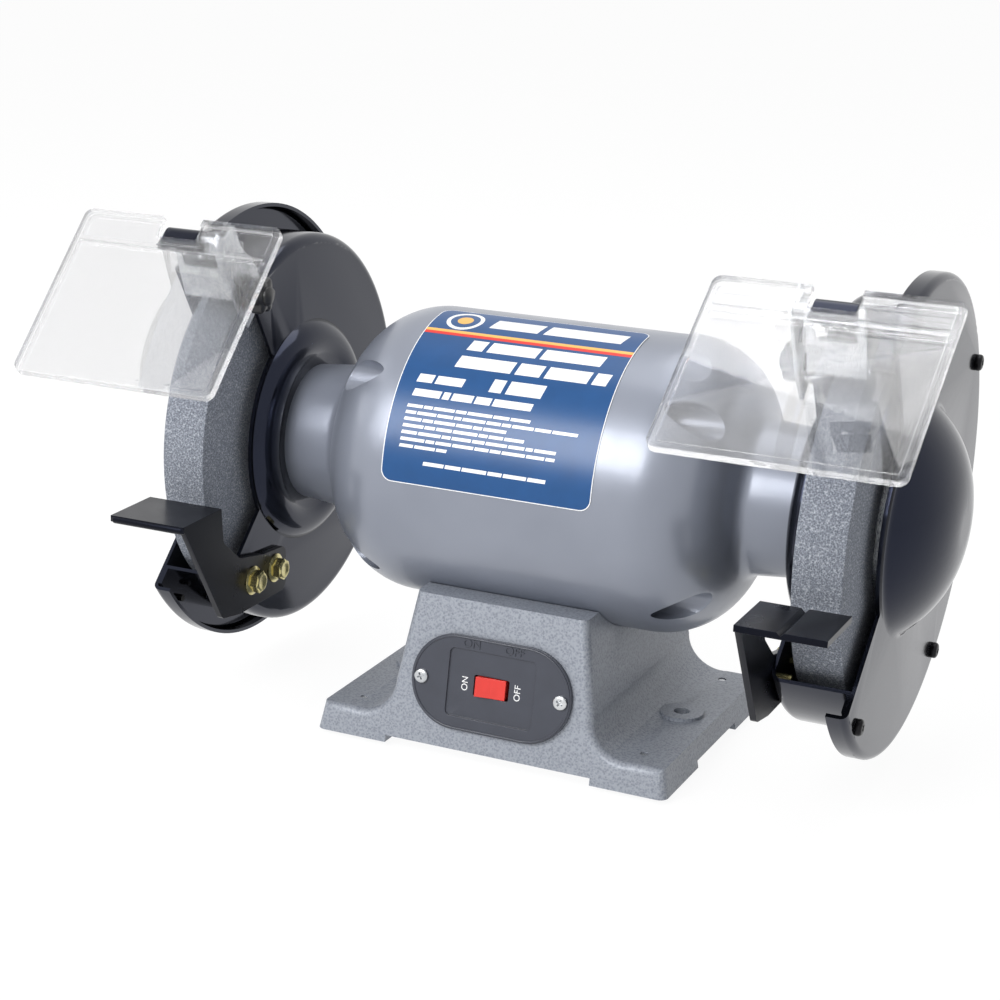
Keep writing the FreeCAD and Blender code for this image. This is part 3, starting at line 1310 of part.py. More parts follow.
faults = [o.Label for o in doc.Objects if {"Invalid", "Error"} & set(o.State)]
for node in nodes:
    if node.Shape.isNull() or not node.Shape.isValid() or not node.Shape.Solids:
        faults.append("shape of " + node.Label)
if faults:
    raise RuntimeError("not built: " + ", ".join(faults))
if len({n.Label for n in nodes}) != len(nodes):
    raise RuntimeError("two parts share a label")
os.makedirs("parts", exist_ok=True)
for node in nodes:
    node.Shape.exportStep("parts/%s.step" % node.Label)
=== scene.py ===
"""Looks of a bench grinder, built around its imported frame.

Lengths are metres in the frame: +X runs along the shaft to the right-hand wheel, +Y to the back,
+Z up from the bench. Each sub-assembly is a class that makes and dresses its own pieces.
"""

import json
import logging
import math
from dataclasses import dataclass, field
from enum import Enum
from typing import Callable, Sequence

import bmesh
import bpy
from mathutils import Matrix, Vector

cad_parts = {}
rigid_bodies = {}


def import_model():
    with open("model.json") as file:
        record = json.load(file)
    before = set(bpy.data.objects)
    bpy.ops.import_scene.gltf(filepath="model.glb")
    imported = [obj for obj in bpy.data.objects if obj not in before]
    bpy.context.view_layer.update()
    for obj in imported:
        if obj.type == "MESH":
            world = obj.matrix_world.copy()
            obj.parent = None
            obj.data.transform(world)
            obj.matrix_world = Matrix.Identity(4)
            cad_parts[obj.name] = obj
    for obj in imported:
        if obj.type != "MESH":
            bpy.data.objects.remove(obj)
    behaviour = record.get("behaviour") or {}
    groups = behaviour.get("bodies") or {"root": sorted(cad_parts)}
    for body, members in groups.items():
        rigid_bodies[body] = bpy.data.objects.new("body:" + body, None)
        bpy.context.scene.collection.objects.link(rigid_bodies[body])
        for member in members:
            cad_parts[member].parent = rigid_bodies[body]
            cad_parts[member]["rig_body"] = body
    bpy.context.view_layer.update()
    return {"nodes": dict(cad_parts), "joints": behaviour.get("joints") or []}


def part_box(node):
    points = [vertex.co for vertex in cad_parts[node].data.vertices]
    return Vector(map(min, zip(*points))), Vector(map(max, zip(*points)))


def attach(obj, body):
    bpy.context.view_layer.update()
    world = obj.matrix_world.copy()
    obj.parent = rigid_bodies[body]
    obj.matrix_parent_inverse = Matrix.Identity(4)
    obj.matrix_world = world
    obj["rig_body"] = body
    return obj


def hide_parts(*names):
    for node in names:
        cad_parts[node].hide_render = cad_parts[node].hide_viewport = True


LOG = logging.getLogger("grinder")
MM = 0.001
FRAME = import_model()
NODES = FRAME["nodes"]


# ------------------------------------------------------------------ small tools
def linear(hex_colour: str, alpha: float = 1.0) -> tuple[float, float, float, float]:
    """Turn an sRGB hex colour into linear values.

    Args:
        hex_colour: Six hex digits, with or without a leading #.
        alpha: Opacity to append.

    Returns:
        Red, green, blue and alpha in linear light.
    """
    digits = hex_colour.lstrip("#")
    parts = [int(digits[i:i + 2], 16) / 255 for i in (0, 2, 4)]
    curve = [c / 12.92 if c <= 0.04045 else ((c + 0.055) / 1.055) ** 2.4 for c in parts]
    return (curve[0], curve[1], curve[2], alpha)


def waves_per_metre(size_mm: float) -> float:
    """Texture scale at which one cell of a pattern is size_mm across."""
    return 1.0 / (size_mm * MM)


class Side(Enum):
    """End of the shaft that a piece belongs to."""

    LEFT = -1
    RIGHT = 1

    @property
    def word(self) -> str:
        """Name used at the front of node names."""
        return self.name.lower()


class Tree:
    """Shader node tree of one material, with a Principled surface."""

    def __init__(self, name: str) -> None:
        """Start an empty material called name."""
        self.material = bpy.data.materials.new(name)
        self.material.use_nodes = True
        self.nodes = self.material.node_tree.nodes
        self.links = self.material.node_tree.links
        self.surface = self.nodes["Principled BSDF"]

    def add(self, kind: str, settings: dict | None = None, **inputs: object) -> bpy.types.Node:
        """Add a node, set its properties and feed its inputs.

        Args:
            kind: Node type without the ShaderNode prefix.
            settings: Properties of the node itself.
            **inputs: Input name, underscores for spaces, to a value or an output socket.

        Returns:
            The new node.
        """
        node = self.nodes.new("ShaderNode" + kind)
        for key, value in (settings or {}).items():
            setattr(node, key, value)
        self.feed(node, **inputs)
        return node

    def feed(self, node: bpy.types.Node, **inputs: object) -> None:
        """Set or link the named inputs of a node.

        Args:
            node: Node whose inputs are fed.
            **inputs: Input name, underscores for spaces, to a value or an output socket.
        """
        for key, value in inputs.items():
            name = key.replace("_", " ").strip()
            socket = node.inputs[int(name[5:])] if name.startswith("input") else node.inputs[name]
            if isinstance(value, bpy.types.NodeSocket):
                self.links.new(value, socket)
            else:
                socket.default_value = value

    def place(self) -> bpy.types.NodeSocket:
        """Position on the object in metres, which no view changes."""
        return self.add("TexCoord").outputs["Object"]

    def ramp(self, factor: bpy.types.NodeSocket, stops: Sequence[tuple[float, str]]) -> bpy.types.NodeSocket:
        """Colour ramp over a factor.

        Args:
            factor: Socket that drives the ramp.
            stops: Position and hex colour of each stop, in order.

        Returns:
            The ramp's colour output.
        """
        node = self.add("ValToRGB", Fac=factor)
        bar = node.color_ramp.elements
        while len(bar) < len(stops):
            bar.new(0.5)
        for element, (spot, colour) in zip(bar, stops):
            element.position = spot
            element.color = linear(colour)
        return node.outputs["Color"]

    def noise(self, size_mm: float, detail: float = 3.0, rough: float = 0.55,
              at: bpy.types.NodeSocket | None = None) -> bpy.types.NodeSocket:
        """Noise value whose cells are about size_mm across."""
        return self.add("TexNoise", Vector=at or self.place(), Scale=waves_per_metre(size_mm),
                        Detail=detail, Roughness=rough).outputs["Fac"]

    def relief(self, height: bpy.types.NodeSocket, depth_mm: float, strength: float = 1.0) -> None:
        """Give the surface a bump depth_mm deep from a height value."""
        bump = self.add("Bump", Height=height, Strength=strength, Distance=depth_mm * MM)
        self.feed(self.surface, Normal=bump.outputs["Normal"])


# --------------------------------------------------------------------- finishes
@dataclass(frozen=True)
class Enamel:
    """Painted metal: a smooth coat over steel or cast aluminium, with a soft, slightly uneven gloss."""

    name: str
    colour: str
    shade: str
    roughness: float
    coat: float
    grain_mm: float = 1.2
    grain_depth_mm: float = 0.01
    metallic: float = 0.0
    sheen: str = "#ffffff"

    def make(self) -> bpy.types.Material:
        """Build the material."""
        tree = Tree(self.name)
        tree.feed(tree.surface, Specular_Tint=linear(self.sheen))
        drift = tree.noise(60.0, 2.0)
        tree.feed(tree.surface, Base_Color=tree.ramp(drift, ((0.3, self.shade), (0.7, self.colour))),
                  Metallic=self.metallic, Coat_Weight=self.coat, Coat_Roughness=0.12)
        cloud = tree.add("MapRange", Value=tree.noise(25.0, 3.0), From_Min=0.3, From_Max=0.7,
                         To_Min=self.roughness * 0.85, To_Max=self.roughness * 1.15)
        tree.feed(tree.surface, Roughness=cloud.outputs["Result"])
        tree.relief(tree.noise(self.grain_mm, 4.0), self.grain_depth_mm)
        return tree.material


@dataclass(frozen=True)
class HammeredCasting:
    """Sand-cast iron under grey enamel: the sand's pimples show through as a fine pebbled sparkle."""

    name: str = "cast_iron_sand_cast_enamel"
    pebble_mm: float = 0.9
    pebble_depth_mm: float = 0.12

    def make(self) -> bpy.types.Material:
        """Build the material."""
        tree = Tree(self.name)
        spot = tree.place()
        cells = tree.add("TexVoronoi", {"feature": "SMOOTH_F1"}, Vector=spot,
                         Scale=waves_per_metre(self.pebble_mm * 1.6), Smoothness=0.6)
        sand = tree.noise(self.pebble_mm, 5.0, 0.65, spot)
        mix = tree.add("Math", {"operation": "MULTIPLY_ADD"}, input0=cells.outputs["Distance"],
                       input1=0.55, input2=sand)
        colour = tree.ramp(mix.outputs[0], ((0.4, "#717681"), (0.62, "#828791"), (0.85, "#989da6")))
        tree.feed(tree.surface, Base_Color=colour, Roughness=0.42, Metallic=0.15,
                  Specular_IOR_Level=0.5)
        tree.relief(mix.outputs[0], self.pebble_depth_mm)
        return tree.material


@dataclass(frozen=True)
class Abrasive:
    """Vitrified aluminium oxide, moulded and fired: matte grey with dark pores and bright grit."""

    name: str = "aluminium_oxide_vitrified"
    grit_mm: float = 0.55
    pore_depth_mm: float = 0.2

    def make(self) -> bpy.types.Material:
        """Build the material."""
        tree = Tree(self.name)
        spot = tree.place()
        grit = tree.noise(self.grit_mm, 6.0, 0.75, spot)
        fleck = tree.add("TexVoronoi", Vector=spot, Scale=waves_per_metre(self.grit_mm * 1.8))
        both = tree.add("Math", {"operation": "MULTIPLY_ADD"}, input0=fleck.outputs["Distance"],
                        input1=0.35, input2=grit)
        colour = tree.ramp(both.outputs[0], ((0.42, "#4b5059"), (0.6, "#70757f"), (0.74, "#8b9099"),
                                             (0.86, "#b8bcc4")))
        tree.feed(tree.surface, Base_Color=colour, Roughness=0.95, Specular_IOR_Level=0.25)
        tree.relief(both.outputs[0], self.pore_depth_mm)
        return tree.material


@dataclass(frozen=True)
class PlatedSteel:
    """Zinc-plated or turned steel: bright metal with a faint spangle and fine draw lines."""

    name: str
    colour: str
    roughness: float
    streak_mm: float = 0.35
    spangle: str = "#b9bcc0"

    def make(self) -> bpy.types.Material:
        """Build the material."""
        tree = Tree(self.name)
        spangle = tree.noise(7.0, 3.0)
        stretch = tree.add("Mapping", Vector=tree.place(), Scale=(1.0, 1.0, 0.06))
        lines = tree.noise(self.streak_mm, 2.0, 0.6, stretch.outputs["Vector"])
        tree.feed(tree.surface, Metallic=1.0,
                  Base_Color=tree.ramp(spangle, ((0.35, self.spangle), (0.65, self.colour))))
        span = tree.add("MapRange", Value=lines, From_Min=0.35, From_Max=0.65,
                        To_Min=self.roughness * 0.8, To_Max=self.roughness * 1.3)
        tree.feed(tree.surface, Roughness=span.outputs["Result"])
        tree.relief(lines, 0.01)
        return tree.material


@dataclass(frozen=True)
class Plastic:
    """Moulded plastic: an even colour with the mould's light texture."""

    name: str
    colour: str
    roughness: float
    texture_mm: float = 0.6
    texture_depth_mm: float = 0.03

    def make(self) -> bpy.types.Material:
        """Build the material."""
        tree = Tree(self.name)
        base = Vector(linear(self.colour)[:3])
        drift = tree.noise(12.0, 2.0)
        pale = tuple(min(1.0, c * 1.15 + 0.002) for c in base) + (1.0,)
        dark = tuple(c * 0.88 for c in base) + (1.0,)
        mixed = tree.add("Mix", {"data_type": "RGBA"}, Factor=drift)
        mixed.inputs[6].default_value = dark
        mixed.inputs[7].default_value = pale
        tree.feed(tree.surface, Base_Color=mixed.outputs[2], Roughness=self.roughness)
        tree.relief(tree.noise(self.texture_mm, 3.0), self.texture_depth_mm)
        return tree.material


@dataclass(frozen=True)
class ClearSheet:
    """Injection-moulded clear polycarbonate: glass-like with a thin, smooth skin."""

    name: str = "polycarbonate_clear_moulded"
    see_through: float = 0.5

    def make(self) -> bpy.types.Material:
        """Build the material."""
        tree = Tree(self.name)
        haze = tree.noise(30.0, 2.0)
        span = tree.add("MapRange", Value=haze, From_Min=0.3, From_Max=0.7, To_Min=0.0, To_Max=0.015)
        tree.feed(tree.surface, Base_Color=linear("#ffffff"), Roughness=span.outputs["Result"],
                  IOR=1.5, Transmission_Weight=1.0)
        clear = tree.add("BsdfTransparent", Color=linear("#fdfdfe"))
        path = tree.add("LightPath")
        light = tree.add("Math", {"operation": "MAXIMUM"}, input0=path.outputs["Is Shadow Ray"],
                         input1=path.outputs["Is Diffuse Ray"])
        share = tree.add("Math", {"operation": "MAXIMUM"}, input0=light.outputs[0],
                         input1=self.see_through)
        blend = tree.add("MixShader", Fac=share.outputs[0])
        tree.links.new(tree.surface.outputs["BSDF"], blend.inputs[1])
        tree.links.new(clear.outputs["BSDF"], blend.inputs[2])
        tree.links.new(blend.outputs["Shader"], tree.nodes["Material Output"].inputs["Surface"])
        return tree.material


class Stock(Enum):
    """Every finish of the grinder, by what the piece is made of."""

    CASTING = HammeredCasting()
    # Smooth silver-grey enamel on die-cast aluminium: broad soft highlights, almost no texture.
    MOTOR = Enamel("aluminium_die_cast_silver_enamel", "#8a8f9b", "#828793", 0.33, 0.25,
                   grain_mm=1.5, grain_depth_mm=0.012, metallic=0.35)
    # Baked gloss black on pressed sheet steel: deep black that mirrors its surroundings.
    BLACK = Enamel("steel_pressed_black_baked_enamel", "#090a0e", "#07080b", 0.12, 0.0,
                   grain_mm=2.2, grain_depth_mm=0.004, sheen="#b9c4ee")
    # The same black, satin, on the bent rests: scuffed by work, so it mirrors little.
    REST = Enamel("steel_bent_black_satin_enamel", "#101116", "#0c0d11", 0.3, 0.0,
                  grain_mm=1.6, grain_depth_mm=0.01, sheen="#5f6680")
    ABRASIVE = Abrasive()
    # Bright zinc plate on sheet steel: pale metal with a faint spangle.
    ZINC = PlatedSteel("steel_sheet_bright_zinc", "#d2d4d6", 0.26)
    # Yellow chromate over zinc on hex bolts: a greenish-gold tint.
    YELLOW = PlatedSteel("steel_yellow_chromate_zinc", "#cfc690", 0.22, spangle="#b3a773")
    # Black oxide on small steel screws: nearly black with a dull shine.
    OXIDE = PlatedSteel("steel_black_oxide", "#2b2b2d", 0.34, spangle="#1d1d1f")
    # Turned and ground steel of the shaft and the bearings: grey metal with fine rings.
    GROUND = PlatedSteel("steel_turned_ground", "#b4b5b8", 0.22, spangle="#a2a3a6")
    # Laminated electrical sheet, stacked: dull grey metal.
    CORE = PlatedSteel("steel_electrical_laminated", "#77787b", 0.5, streak_mm=0.5, spangle="#66676a")
    # Enamelled copper wire, wound: warm orange-brown metal.
    COPPER = PlatedSteel("copper_wire_enamelled", "#b4622e", 0.35, streak_mm=0.9, spangle="#8f4a20")
    CLEAR = ClearSheet()
    # Moulded ABS in black: satin, with the mould's faint texture.
    BLACK_PLASTIC = Plastic("abs_black_moulded", "#17181a", 0.32)
    # The same black plastic on the switch plate, polished; its base colour is lifted to grey as a painted
    # reflection of the pale room in its face.
    PLATE_PLASTIC = Plastic("abs_black_moulded_polished", "#3b3e48", 0.28, texture_depth_mm=0.01)
    # Moulded, polished nylon in red for the switch: even and slightly glossy.
    RED_PLASTIC = Plastic("nylon_red_moulded", "#d9362e", 0.26, texture_depth_mm=0.01)
    # Moulded nitrile rubber: dark and dull.
    RUBBER = Plastic("rubber_black_moulded", "#1c1c1d", 0.75, texture_mm=0.9)
    # Screen-printed polyester film, gloss laminated: blue field.
    LABEL_BLUE = Plastic("polyester_film_printed_blue", "#00457c", 0.3, 3.0, 0.004)
    # The same film where it is printed white.
    LABEL_WHITE = Plastic("polyester_film_printed_white", "#f1f3f5", 0.3, 3.0, 0.004)
    # The same film where it is printed gold.
    LABEL_GOLD = Plastic("polyester_film_printed_gold", "#e8b45c", 0.3, 3.0, 0.004)
    # The same film where it is printed red.
    LABEL_RED = Plastic("polyester_film_printed_red", "#dc2b1e", 0.3, 3.0, 0.004)
    # White ink pad-printed on the switch plate.
    INK = Plastic("pad_print_white_ink", "#eceded", 0.5)


MADE: dict[Stock, bpy.types.Material] = {}


def finish(stock: Stock) -> bpy.types.Material:
    """Material of a finish, made on first use."""
    if stock not in MADE:
        MADE[stock] = stock.value.make()
    return MADE[stock]


# ---------------------------------------------------------------------- meshes
def settle(obj: bpy.types.Object, body: str, stands_for: Sequence[str] = ()) -> bpy.types.Object:
    """Ride a finished piece on its body and say what it stands for.

    Args:
        obj: The piece, in place.
        body: CAD body that it moves with.
        stands_for: CAD nodes that it replaces.

    Returns:
        The piece.
    """
    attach(obj, body)
    if stands_for:
        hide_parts(*stands_for)
    LOG.info("%s: %d vertices on %s", obj.name, len(obj.data.vertices), body)
    return obj


def body_of(node: str) -> str:
    """CAD body that a node belongs to."""
    return NODES[node]["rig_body"]


def new_object(name: str, mesh: bpy.types.Mesh, *stocks: Stock) -> bpy.types.Object:
    """Link a mesh as an object with its finishes."""
    obj = bpy.data.objects.new(name, mesh)
    bpy.context.scene.collection.objects.link(obj)
    for stock in stocks:
        mesh.materials.append(finish(stock))
    return obj


def from_bmesh(name: str, bm: bmesh.types.BMesh, sharp_deg: float = 35.0) -> bpy.types.Mesh:
    """Turn a bmesh into a smooth-shaded mesh with sharp corners kept.

    Args:
        name: Mesh name.
        bm: Source, which is freed.
        sharp_deg: Corners sharper than this stay sharp.

    Returns:
        The mesh.
    """
    bmesh.ops.recalc_face_normals(bm, faces=bm.faces)
    mesh = bpy.data.meshes.new(name)
    bm.to_mesh(mesh)
    bm.free()
    for poly in mesh.polygons:
        poly.use_smooth = True
    mesh.set_sharp_from_angle(angle=math.radians(sharp_deg))
    return mesh


def dress(node: str, stock: Stock) -> None:
    """Give a CAD node its finish."""
    obj = NODES[node]
    obj.data.materials.clear()
    obj.data.materials.append(finish(stock))


def soften(node: str, stock: Stock, round_mm: float,
           shape: Callable[[bmesh.types.BMesh], None] | None = None) -> bpy.types.Object:
    """Stand a copy with rounded edges in for a CAD node, as rolled sheet and castings have them.

    Args:
        node: CAD node to copy and replace.
        stock: Its finish.
        round_mm: Radius of the rounding.
        shape: Further change to the mesh before its edges are rounded.

    Returns:
        The new piece.
    """
    bm = bmesh.new()
    bm.from_mesh(NODES[node].data)
    bmesh.ops.remove_doubles(bm, verts=bm.verts, dist=2e-6)
    bmesh.ops.dissolve_limit(bm, angle_limit=math.radians(0.4), verts=bm.verts, edges=bm.edges)
    if shape:
        shape(bm)
    mesh = from_bmesh(node + "_soft", bm)
    obj = new_object(node + "_finished", mesh, stock)
    bevel = obj.modifiers.new("rounded_edges", "BEVEL")
    bevel.width = round_mm * MM
    bevel.segments = 3
    bevel.limit_method = "ANGLE"
    bevel.angle_limit = math.radians(38)
    bevel.harden_normals = True
    return settle(obj, body_of(node), [node])


@dataclass
class Seat:
    """Place of one fastener: the middle of its head's underside, and its sizes."""

    middle: Vector
    way: Vector
    radius: float
    height: float
    reach: float


def islands(node: str) -> list[list[Vector]]:
    """Points of each separate solid in a CAD node."""
    bm = bmesh.new()
    bm.from_mesh(NODES[node].data)
    bmesh.ops.remove_doubles(bm, verts=bm.verts, dist=2e-6)
    left = set(bm.verts)
    groups = []
    while left:
        stack = [left.pop()]
        group = []
        while stack:
            vert = stack.pop()
            group.append(vert.co.copy())
            for edge in vert.link_edges:
                other = edge.other_vert(vert)
                if other in left:
                    left.remove(other)
                    stack.append(other)
        groups.append(group)
    bm.free()
    groups.sort(key=lambda g: tuple(round(c, 4) for c in sum(g, Vector()) / len(g)))
    return groups


def seats(node: str, way: Vector) -> list[Seat]:
    """Read where the fasteners of a CAD node sit.

    Args:
        node: CAD node that holds screws or bolts, all facing the same way.
        way: Direction that their heads face.

    Returns:
        One seat for each solid.
    """
    found = []
    for points in islands(node):
        top = max(p.dot(way) for p in points)
        low = min(p.dot(way) for p in points)
        crown = [p for p in points if p.dot(way) > top - 0.05 * MM]
        middle = sum(crown, Vector()) / len(crown)
        apart = [((p - middle) - way * (p - middle).dot(way)).length for p in points]
        radius = max(apart)
        under = min(p.dot(way) for p, r in zip(points, apart) if r > 0.95 * radius)
        found.append(Seat(middle - way * (top - under), way, radius, top - under, under - low))
    return found


def lathe(bm: bmesh.types.BMesh, profile: Sequence[tuple[float, float]], steps: int = 40,
          matrix: Matrix | None = None, wave: Callable[[float], float] | None = None) -> None:
    """Spin a profile of (radius, height) points about local Z and add it to a bmesh.

    Args:
        bm: Target.
        profile: Points from one end to the other; a radius of 0 closes the end.
        steps: Points around.
        matrix: Where local space goes.
        wave: Optional factor on the radius for each angle.
    """
    matrix = matrix or Matrix.Identity(4)
    rings = []
    for radius, height in profile:
        if radius == 0:
            rings.append([bm.verts.new(matrix @ Vector((0, 0, height)))])
            continue
        ring = []
        for i in range(steps):
            angle = math.tau * i / steps
            r = radius * (wave(angle) if wave else 1.0)
            ring.append(bm.verts.new(matrix @ Vector((r * math.cos(angle), r * math.sin(angle), height))))
        rings.append(ring)
    for low, high in zip(rings, rings[1:]):
        for i in range(steps):
            j = (i + 1) % steps
            if len(low) == 1 and len(high) > 1:
                bm.faces.new((low[0], high[i], high[j]))
            elif len(high) == 1 and len(low) > 1:
                bm.faces.new((low[i], low[j], high[0]))
            elif len(low) > 1:
                bm.faces.new((low[i], low[j], high[j], high[i]))


def facing(way: Vector, middle: Vector, turn_deg: float = 0.0) -> Matrix:
    """Matrix that takes local Z to a direction at a place."""
    turn = way.to_track_quat("Z", "Y").to_matrix().to_4x4()
    return Matrix.Translation(middle) @ turn @ Matrix.Rotation(math.radians(turn_deg), 4, "Z")


def cross_recess(radius: float, top: float) -> bpy.types.Object:
    """Tapered four-wing plug that cuts a cross recess into a screw head."""
    bm = bmesh.new()
    for turn in (0.0, 90.0):
        spin = Matrix.Rotation(math.radians(turn), 4, "Z")
        long_top, long_low = radius * 0.62, radius * 0.3
        wide_top, wide_low = radius * 0.13, radius * 0.09
        high, deep = top * 1.4, top * 0.28
        corners = [(-long_low, -wide_low, deep), (long_low, -wide_low, deep), (long_low, wide_low, deep),
                   (-long_low, wide_low, deep), (-long_top, -wide_top, high), (long_top, -wide_top, high),
                   (long_top, wide_top, high), (-long_top, wide_top, high)]
        v = [bm.verts.new(spin @ Vector(c)) for c in corners]
        for face in ((3, 2, 1, 0), (4, 5, 6, 7), (0, 1, 5, 4), (1, 2, 6, 5), (2, 3, 7, 6), (3, 0, 4, 7)):
            bm.faces.new([v[i] for i in face])
    mesh = bpy.data.meshes.new("recess")
    bm.to_mesh(mesh)
    bm.free()
    obj = bpy.data.objects.new("recess", mesh)
    bpy.context.scene.collection.objects.link(obj)
    return obj


def pan_head_mesh(radius: float, height: float, reach: float) -> bpy.types.Mesh:
    """Pan-head screw with a cross recess, its underside at z = 0."""
    shank = radius * 0.45
    profile = [(0, -reach), (shank, -reach), (shank, 0), (radius * 0.97, 0), (radius, height * 0.15),
               (radius, height * 0.5)]
    for i in range(1, 6):
        angle = math.radians(90 * i / 5)
        profile.append((radius * (0.55 + 0.45 * math.cos(angle)), height * (0.5 + 0.5 * math.sin(angle))))
    profile.append((0, height))
    bm = bmesh.new()
    lathe(bm, profile, 36)
    solid = new_object("screw", from_bmesh("screw", bm), Stock.ZINC)
    tool = cross_recess(radius, height)
    cutter = solid.modifiers.new("recess", "BOOLEAN")
    cutter.operation = "DIFFERENCE"
    cutter.object = tool
    cutter.solver = "EXACT"
    cutter.use_self = True
    graph = bpy.context.evaluated_depsgraph_get()
    mesh = bpy.data.meshes.new_from_object(solid.evaluated_get(graph))
    bpy.data.objects.remove(solid)
    bpy.data.objects.remove(tool)
    return mesh


def stamp(name: str, places: Sequence[tuple[bpy.types.Mesh, Matrix]], *stocks: Stock) -> bpy.types.Object:
    """Join copies of meshes, each at its own place, into one object."""
    bm = bmesh.new()
    for mesh, matrix in places:
        start = len(bm.verts)
        bm.from_mesh(mesh)
        bm.verts.ensure_lookup_table()
        for vert in bm.verts[start:]:
            vert.co = matrix @ vert.co
    return new_object(name, from_bmesh(name, bm), *stocks)


def screws(node: str, way: Sequence[float], stock: Stock) -> None:
    """Stand cross-recessed pan-head screws in for a CAD node's plain ones."""
    spots = seats(node, Vector(way).normalized())
    places = []
    for i, spot in enumerate(spots):
        mesh = pan_head_mesh(spot.radius, spot.height * 1.15, spot.reach)
        places.append((mesh, facing(spot.way, spot.middle, 25 + 37 * i)))
    settle(stamp(node + "_detailed", places, stock), body_of(node), [node])


# --------------------------------------------------------------- sub-assemblies
@dataclass
class Pedestal:
    """Cast base with its feet, bottom cover, gland and screws."""

    edge_round_mm: float = 1.2

    def build(self) -> None:
        """Dress the casting and everything bolted under it."""
        soften("base_casting", Stock.CASTING, self.edge_round_mm)
        soften("bottom_cover", Stock.ZINC, 0.3)
        soften("rubber_feet", Stock.RUBBER, 0.5)
        soften("inlet_gland", Stock.BLACK_PLASTIC, 0.6)
        soften("capacitor", Stock.BLACK_PLASTIC, 1.2)
        screws("bottom_screws", (0, 0, -1), Stock.ZINC)
        screws("foot_screws", (0, 0, -1), Stock.ZINC)
        screws("motor_screws", (0, 0, -1), Stock.ZINC)


@dataclass
class Switch:
    """Plate, rocker and screws on the sloping front of the pedestal."""

    ridge_mm: float = 1.3
    letter_mm: float = 9.0
    ink_mm: float = 5.4
    out: Vector = field(init=False)
    up: Vector = field(init=False)
    middle: Vector = field(init=False)

    def __post_init__(self) -> None:
        """Take the face's directions from the rocker's hinge and its place from the plate."""
        joint = next(j for j in FRAME["joints"] if j["name"] == "switch_rock")
        self.up = Vector(joint["axis"]).normalized()
        self.out = Vector((1, 0, 0)).cross(self.up)
        low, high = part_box("switch_plate")
        pivot = Vector(joint["pos_m"])
        top = max(v.co.dot(self.out) for v in NODES["switch_plate"].data.vertices)
        self.middle = pivot + self.out * (top - pivot.dot(self.out))
        self.half = Vector(((high.x - low.x) / 2, (high.z - low.z) / 2 / self.up.z))

    def spot(self, across: float, along: float, lift: float = 0.0) -> Vector:
        """Place on the plate: metres to the right, up the face and out of it."""
        return self.middle + Vector((across, 0, 0)) + self.up * along + self.out * lift

    def letters(self, name: str, text: str, size_mm: float, across: float, along: float,
                turn_deg: float, raised_mm: float, stock: Stock, sink_mm: float = 0.0) -> None:
        """Set a word on the plate as raised or printed letters.

        Args:
            name: Object name.
            text: Word to set.
            size_mm: Height of the letters.
            across: Metres to the right of the plate's middle.
            along: Metres up the face.
            turn_deg: Turn of the word in the plate's plane.
            raised_mm: How far the letters stand out.
            stock: Their finish.
            sink_mm: How deep under the plate's top they start.
        """
        curve = bpy.data.curves.new(name, "FONT")
        curve.body = text
        curve.size = size_mm * MM / 0.7
        curve.extrude = raised_mm * MM
        curve.align_x = "CENTER"
        curve.align_y = "CENTER"
        temp = bpy.data.objects.new(name + "_text", curve)
        bpy.context.scene.collection.objects.link(temp)
        mesh = bpy.data.meshes.new_from_object(temp.evaluated_get(bpy.context.evaluated_depsgraph_get()))
        bpy.data.objects.remove(temp)
        axes = Matrix((Vector((1, 0, 0)), self.up, self.out)).transposed().to_4x4()
        place = Matrix.Translation(self.spot(across, along, -sink_mm * MM)) @ axes
        mesh.transform(place @ Matrix.Rotation(math.radians(turn_deg), 4, "Z"))
        settle(new_object(name, mesh, stock), "stand")

    def ridge(self) -> None:
        """Raised bead that runs round the plate just inside its edge."""
        half_x, half_y = self.half.x - 1.2 * MM, self.half.y - 1.2 * MM
        path = []
        steps = 24
        for side in (1, -1):
            for i in range(steps + 1):
                angle = math.pi * i / steps - math.pi / 2
                across = side * (half_x - half_y) + side * half_y * math.cos(angle)
                path.append(self.spot(across, side * half_y * math.sin(angle)))
        curve = bpy.data.curves.new("plate_ridge", "CURVE")
        curve.dimensions = "3D"
        curve.bevel_depth = self.ridge_mm * MM / 2
        curve.bevel_resolution = 4
        spline = curve.splines.new("POLY")
        spline.points.add(len(path) - 1)
        for point, place in zip(spline.points, path):
            point.co = (*place, 1)
        spline.use_cyclic_u = True
        temp = bpy.data.objects.new("plate_ridge_path", curve)
        bpy.context.scene.collection.objects.link(temp)
        mesh = bpy.data.meshes.new_from_object(temp.evaluated_get(bpy.context.evaluated_depsgraph_get()))
        bpy.data.objects.remove(temp)
        for poly in mesh.polygons:
            poly.use_smooth = True
        # The ridge takes the plate's finish, whose grey colour is a painted reflection.
        settle(new_object("switch_plate_ridge", mesh, Stock.PLATE_PLASTIC), "stand")

    def build(self) -> None:
        """Dress the switch and add its raised and printed words."""
        # The plate, its ridge and its raised words take the finish whose grey colour is a painted reflection of
        # the room.
        soften("switch_plate", Stock.PLATE_PLASTIC, 0.5)
        self.ridge()
        soften("switch_rocker", Stock.RED_PLASTIC, 0.4)
        soften("switch_body", Stock.BLACK_PLASTIC, 0.2)
        screws("switch_screws", self.out, Stock.ZINC)
        size, ink = self.letter_mm, self.ink_mm
        self.letters("raised_on", "ON", 4.6, -13 * MM, 22.4 * MM, 0, 0.5, Stock.PLATE_PLASTIC)
        self.letters("raised_off", "OFF", 4.6, 12 * MM, 22.4 * MM, 0, 0.5, Stock.PLATE_PLASTIC)
        self.letters("printed_on", "ON", 3.6, -15.5 * MM, 0, 90, 0.05, Stock.INK, 1.17)
        self.letters("printed_off", "OFF", 3.6, 15.5 * MM, 0, 90, 0.05, Stock.INK, 1.17)


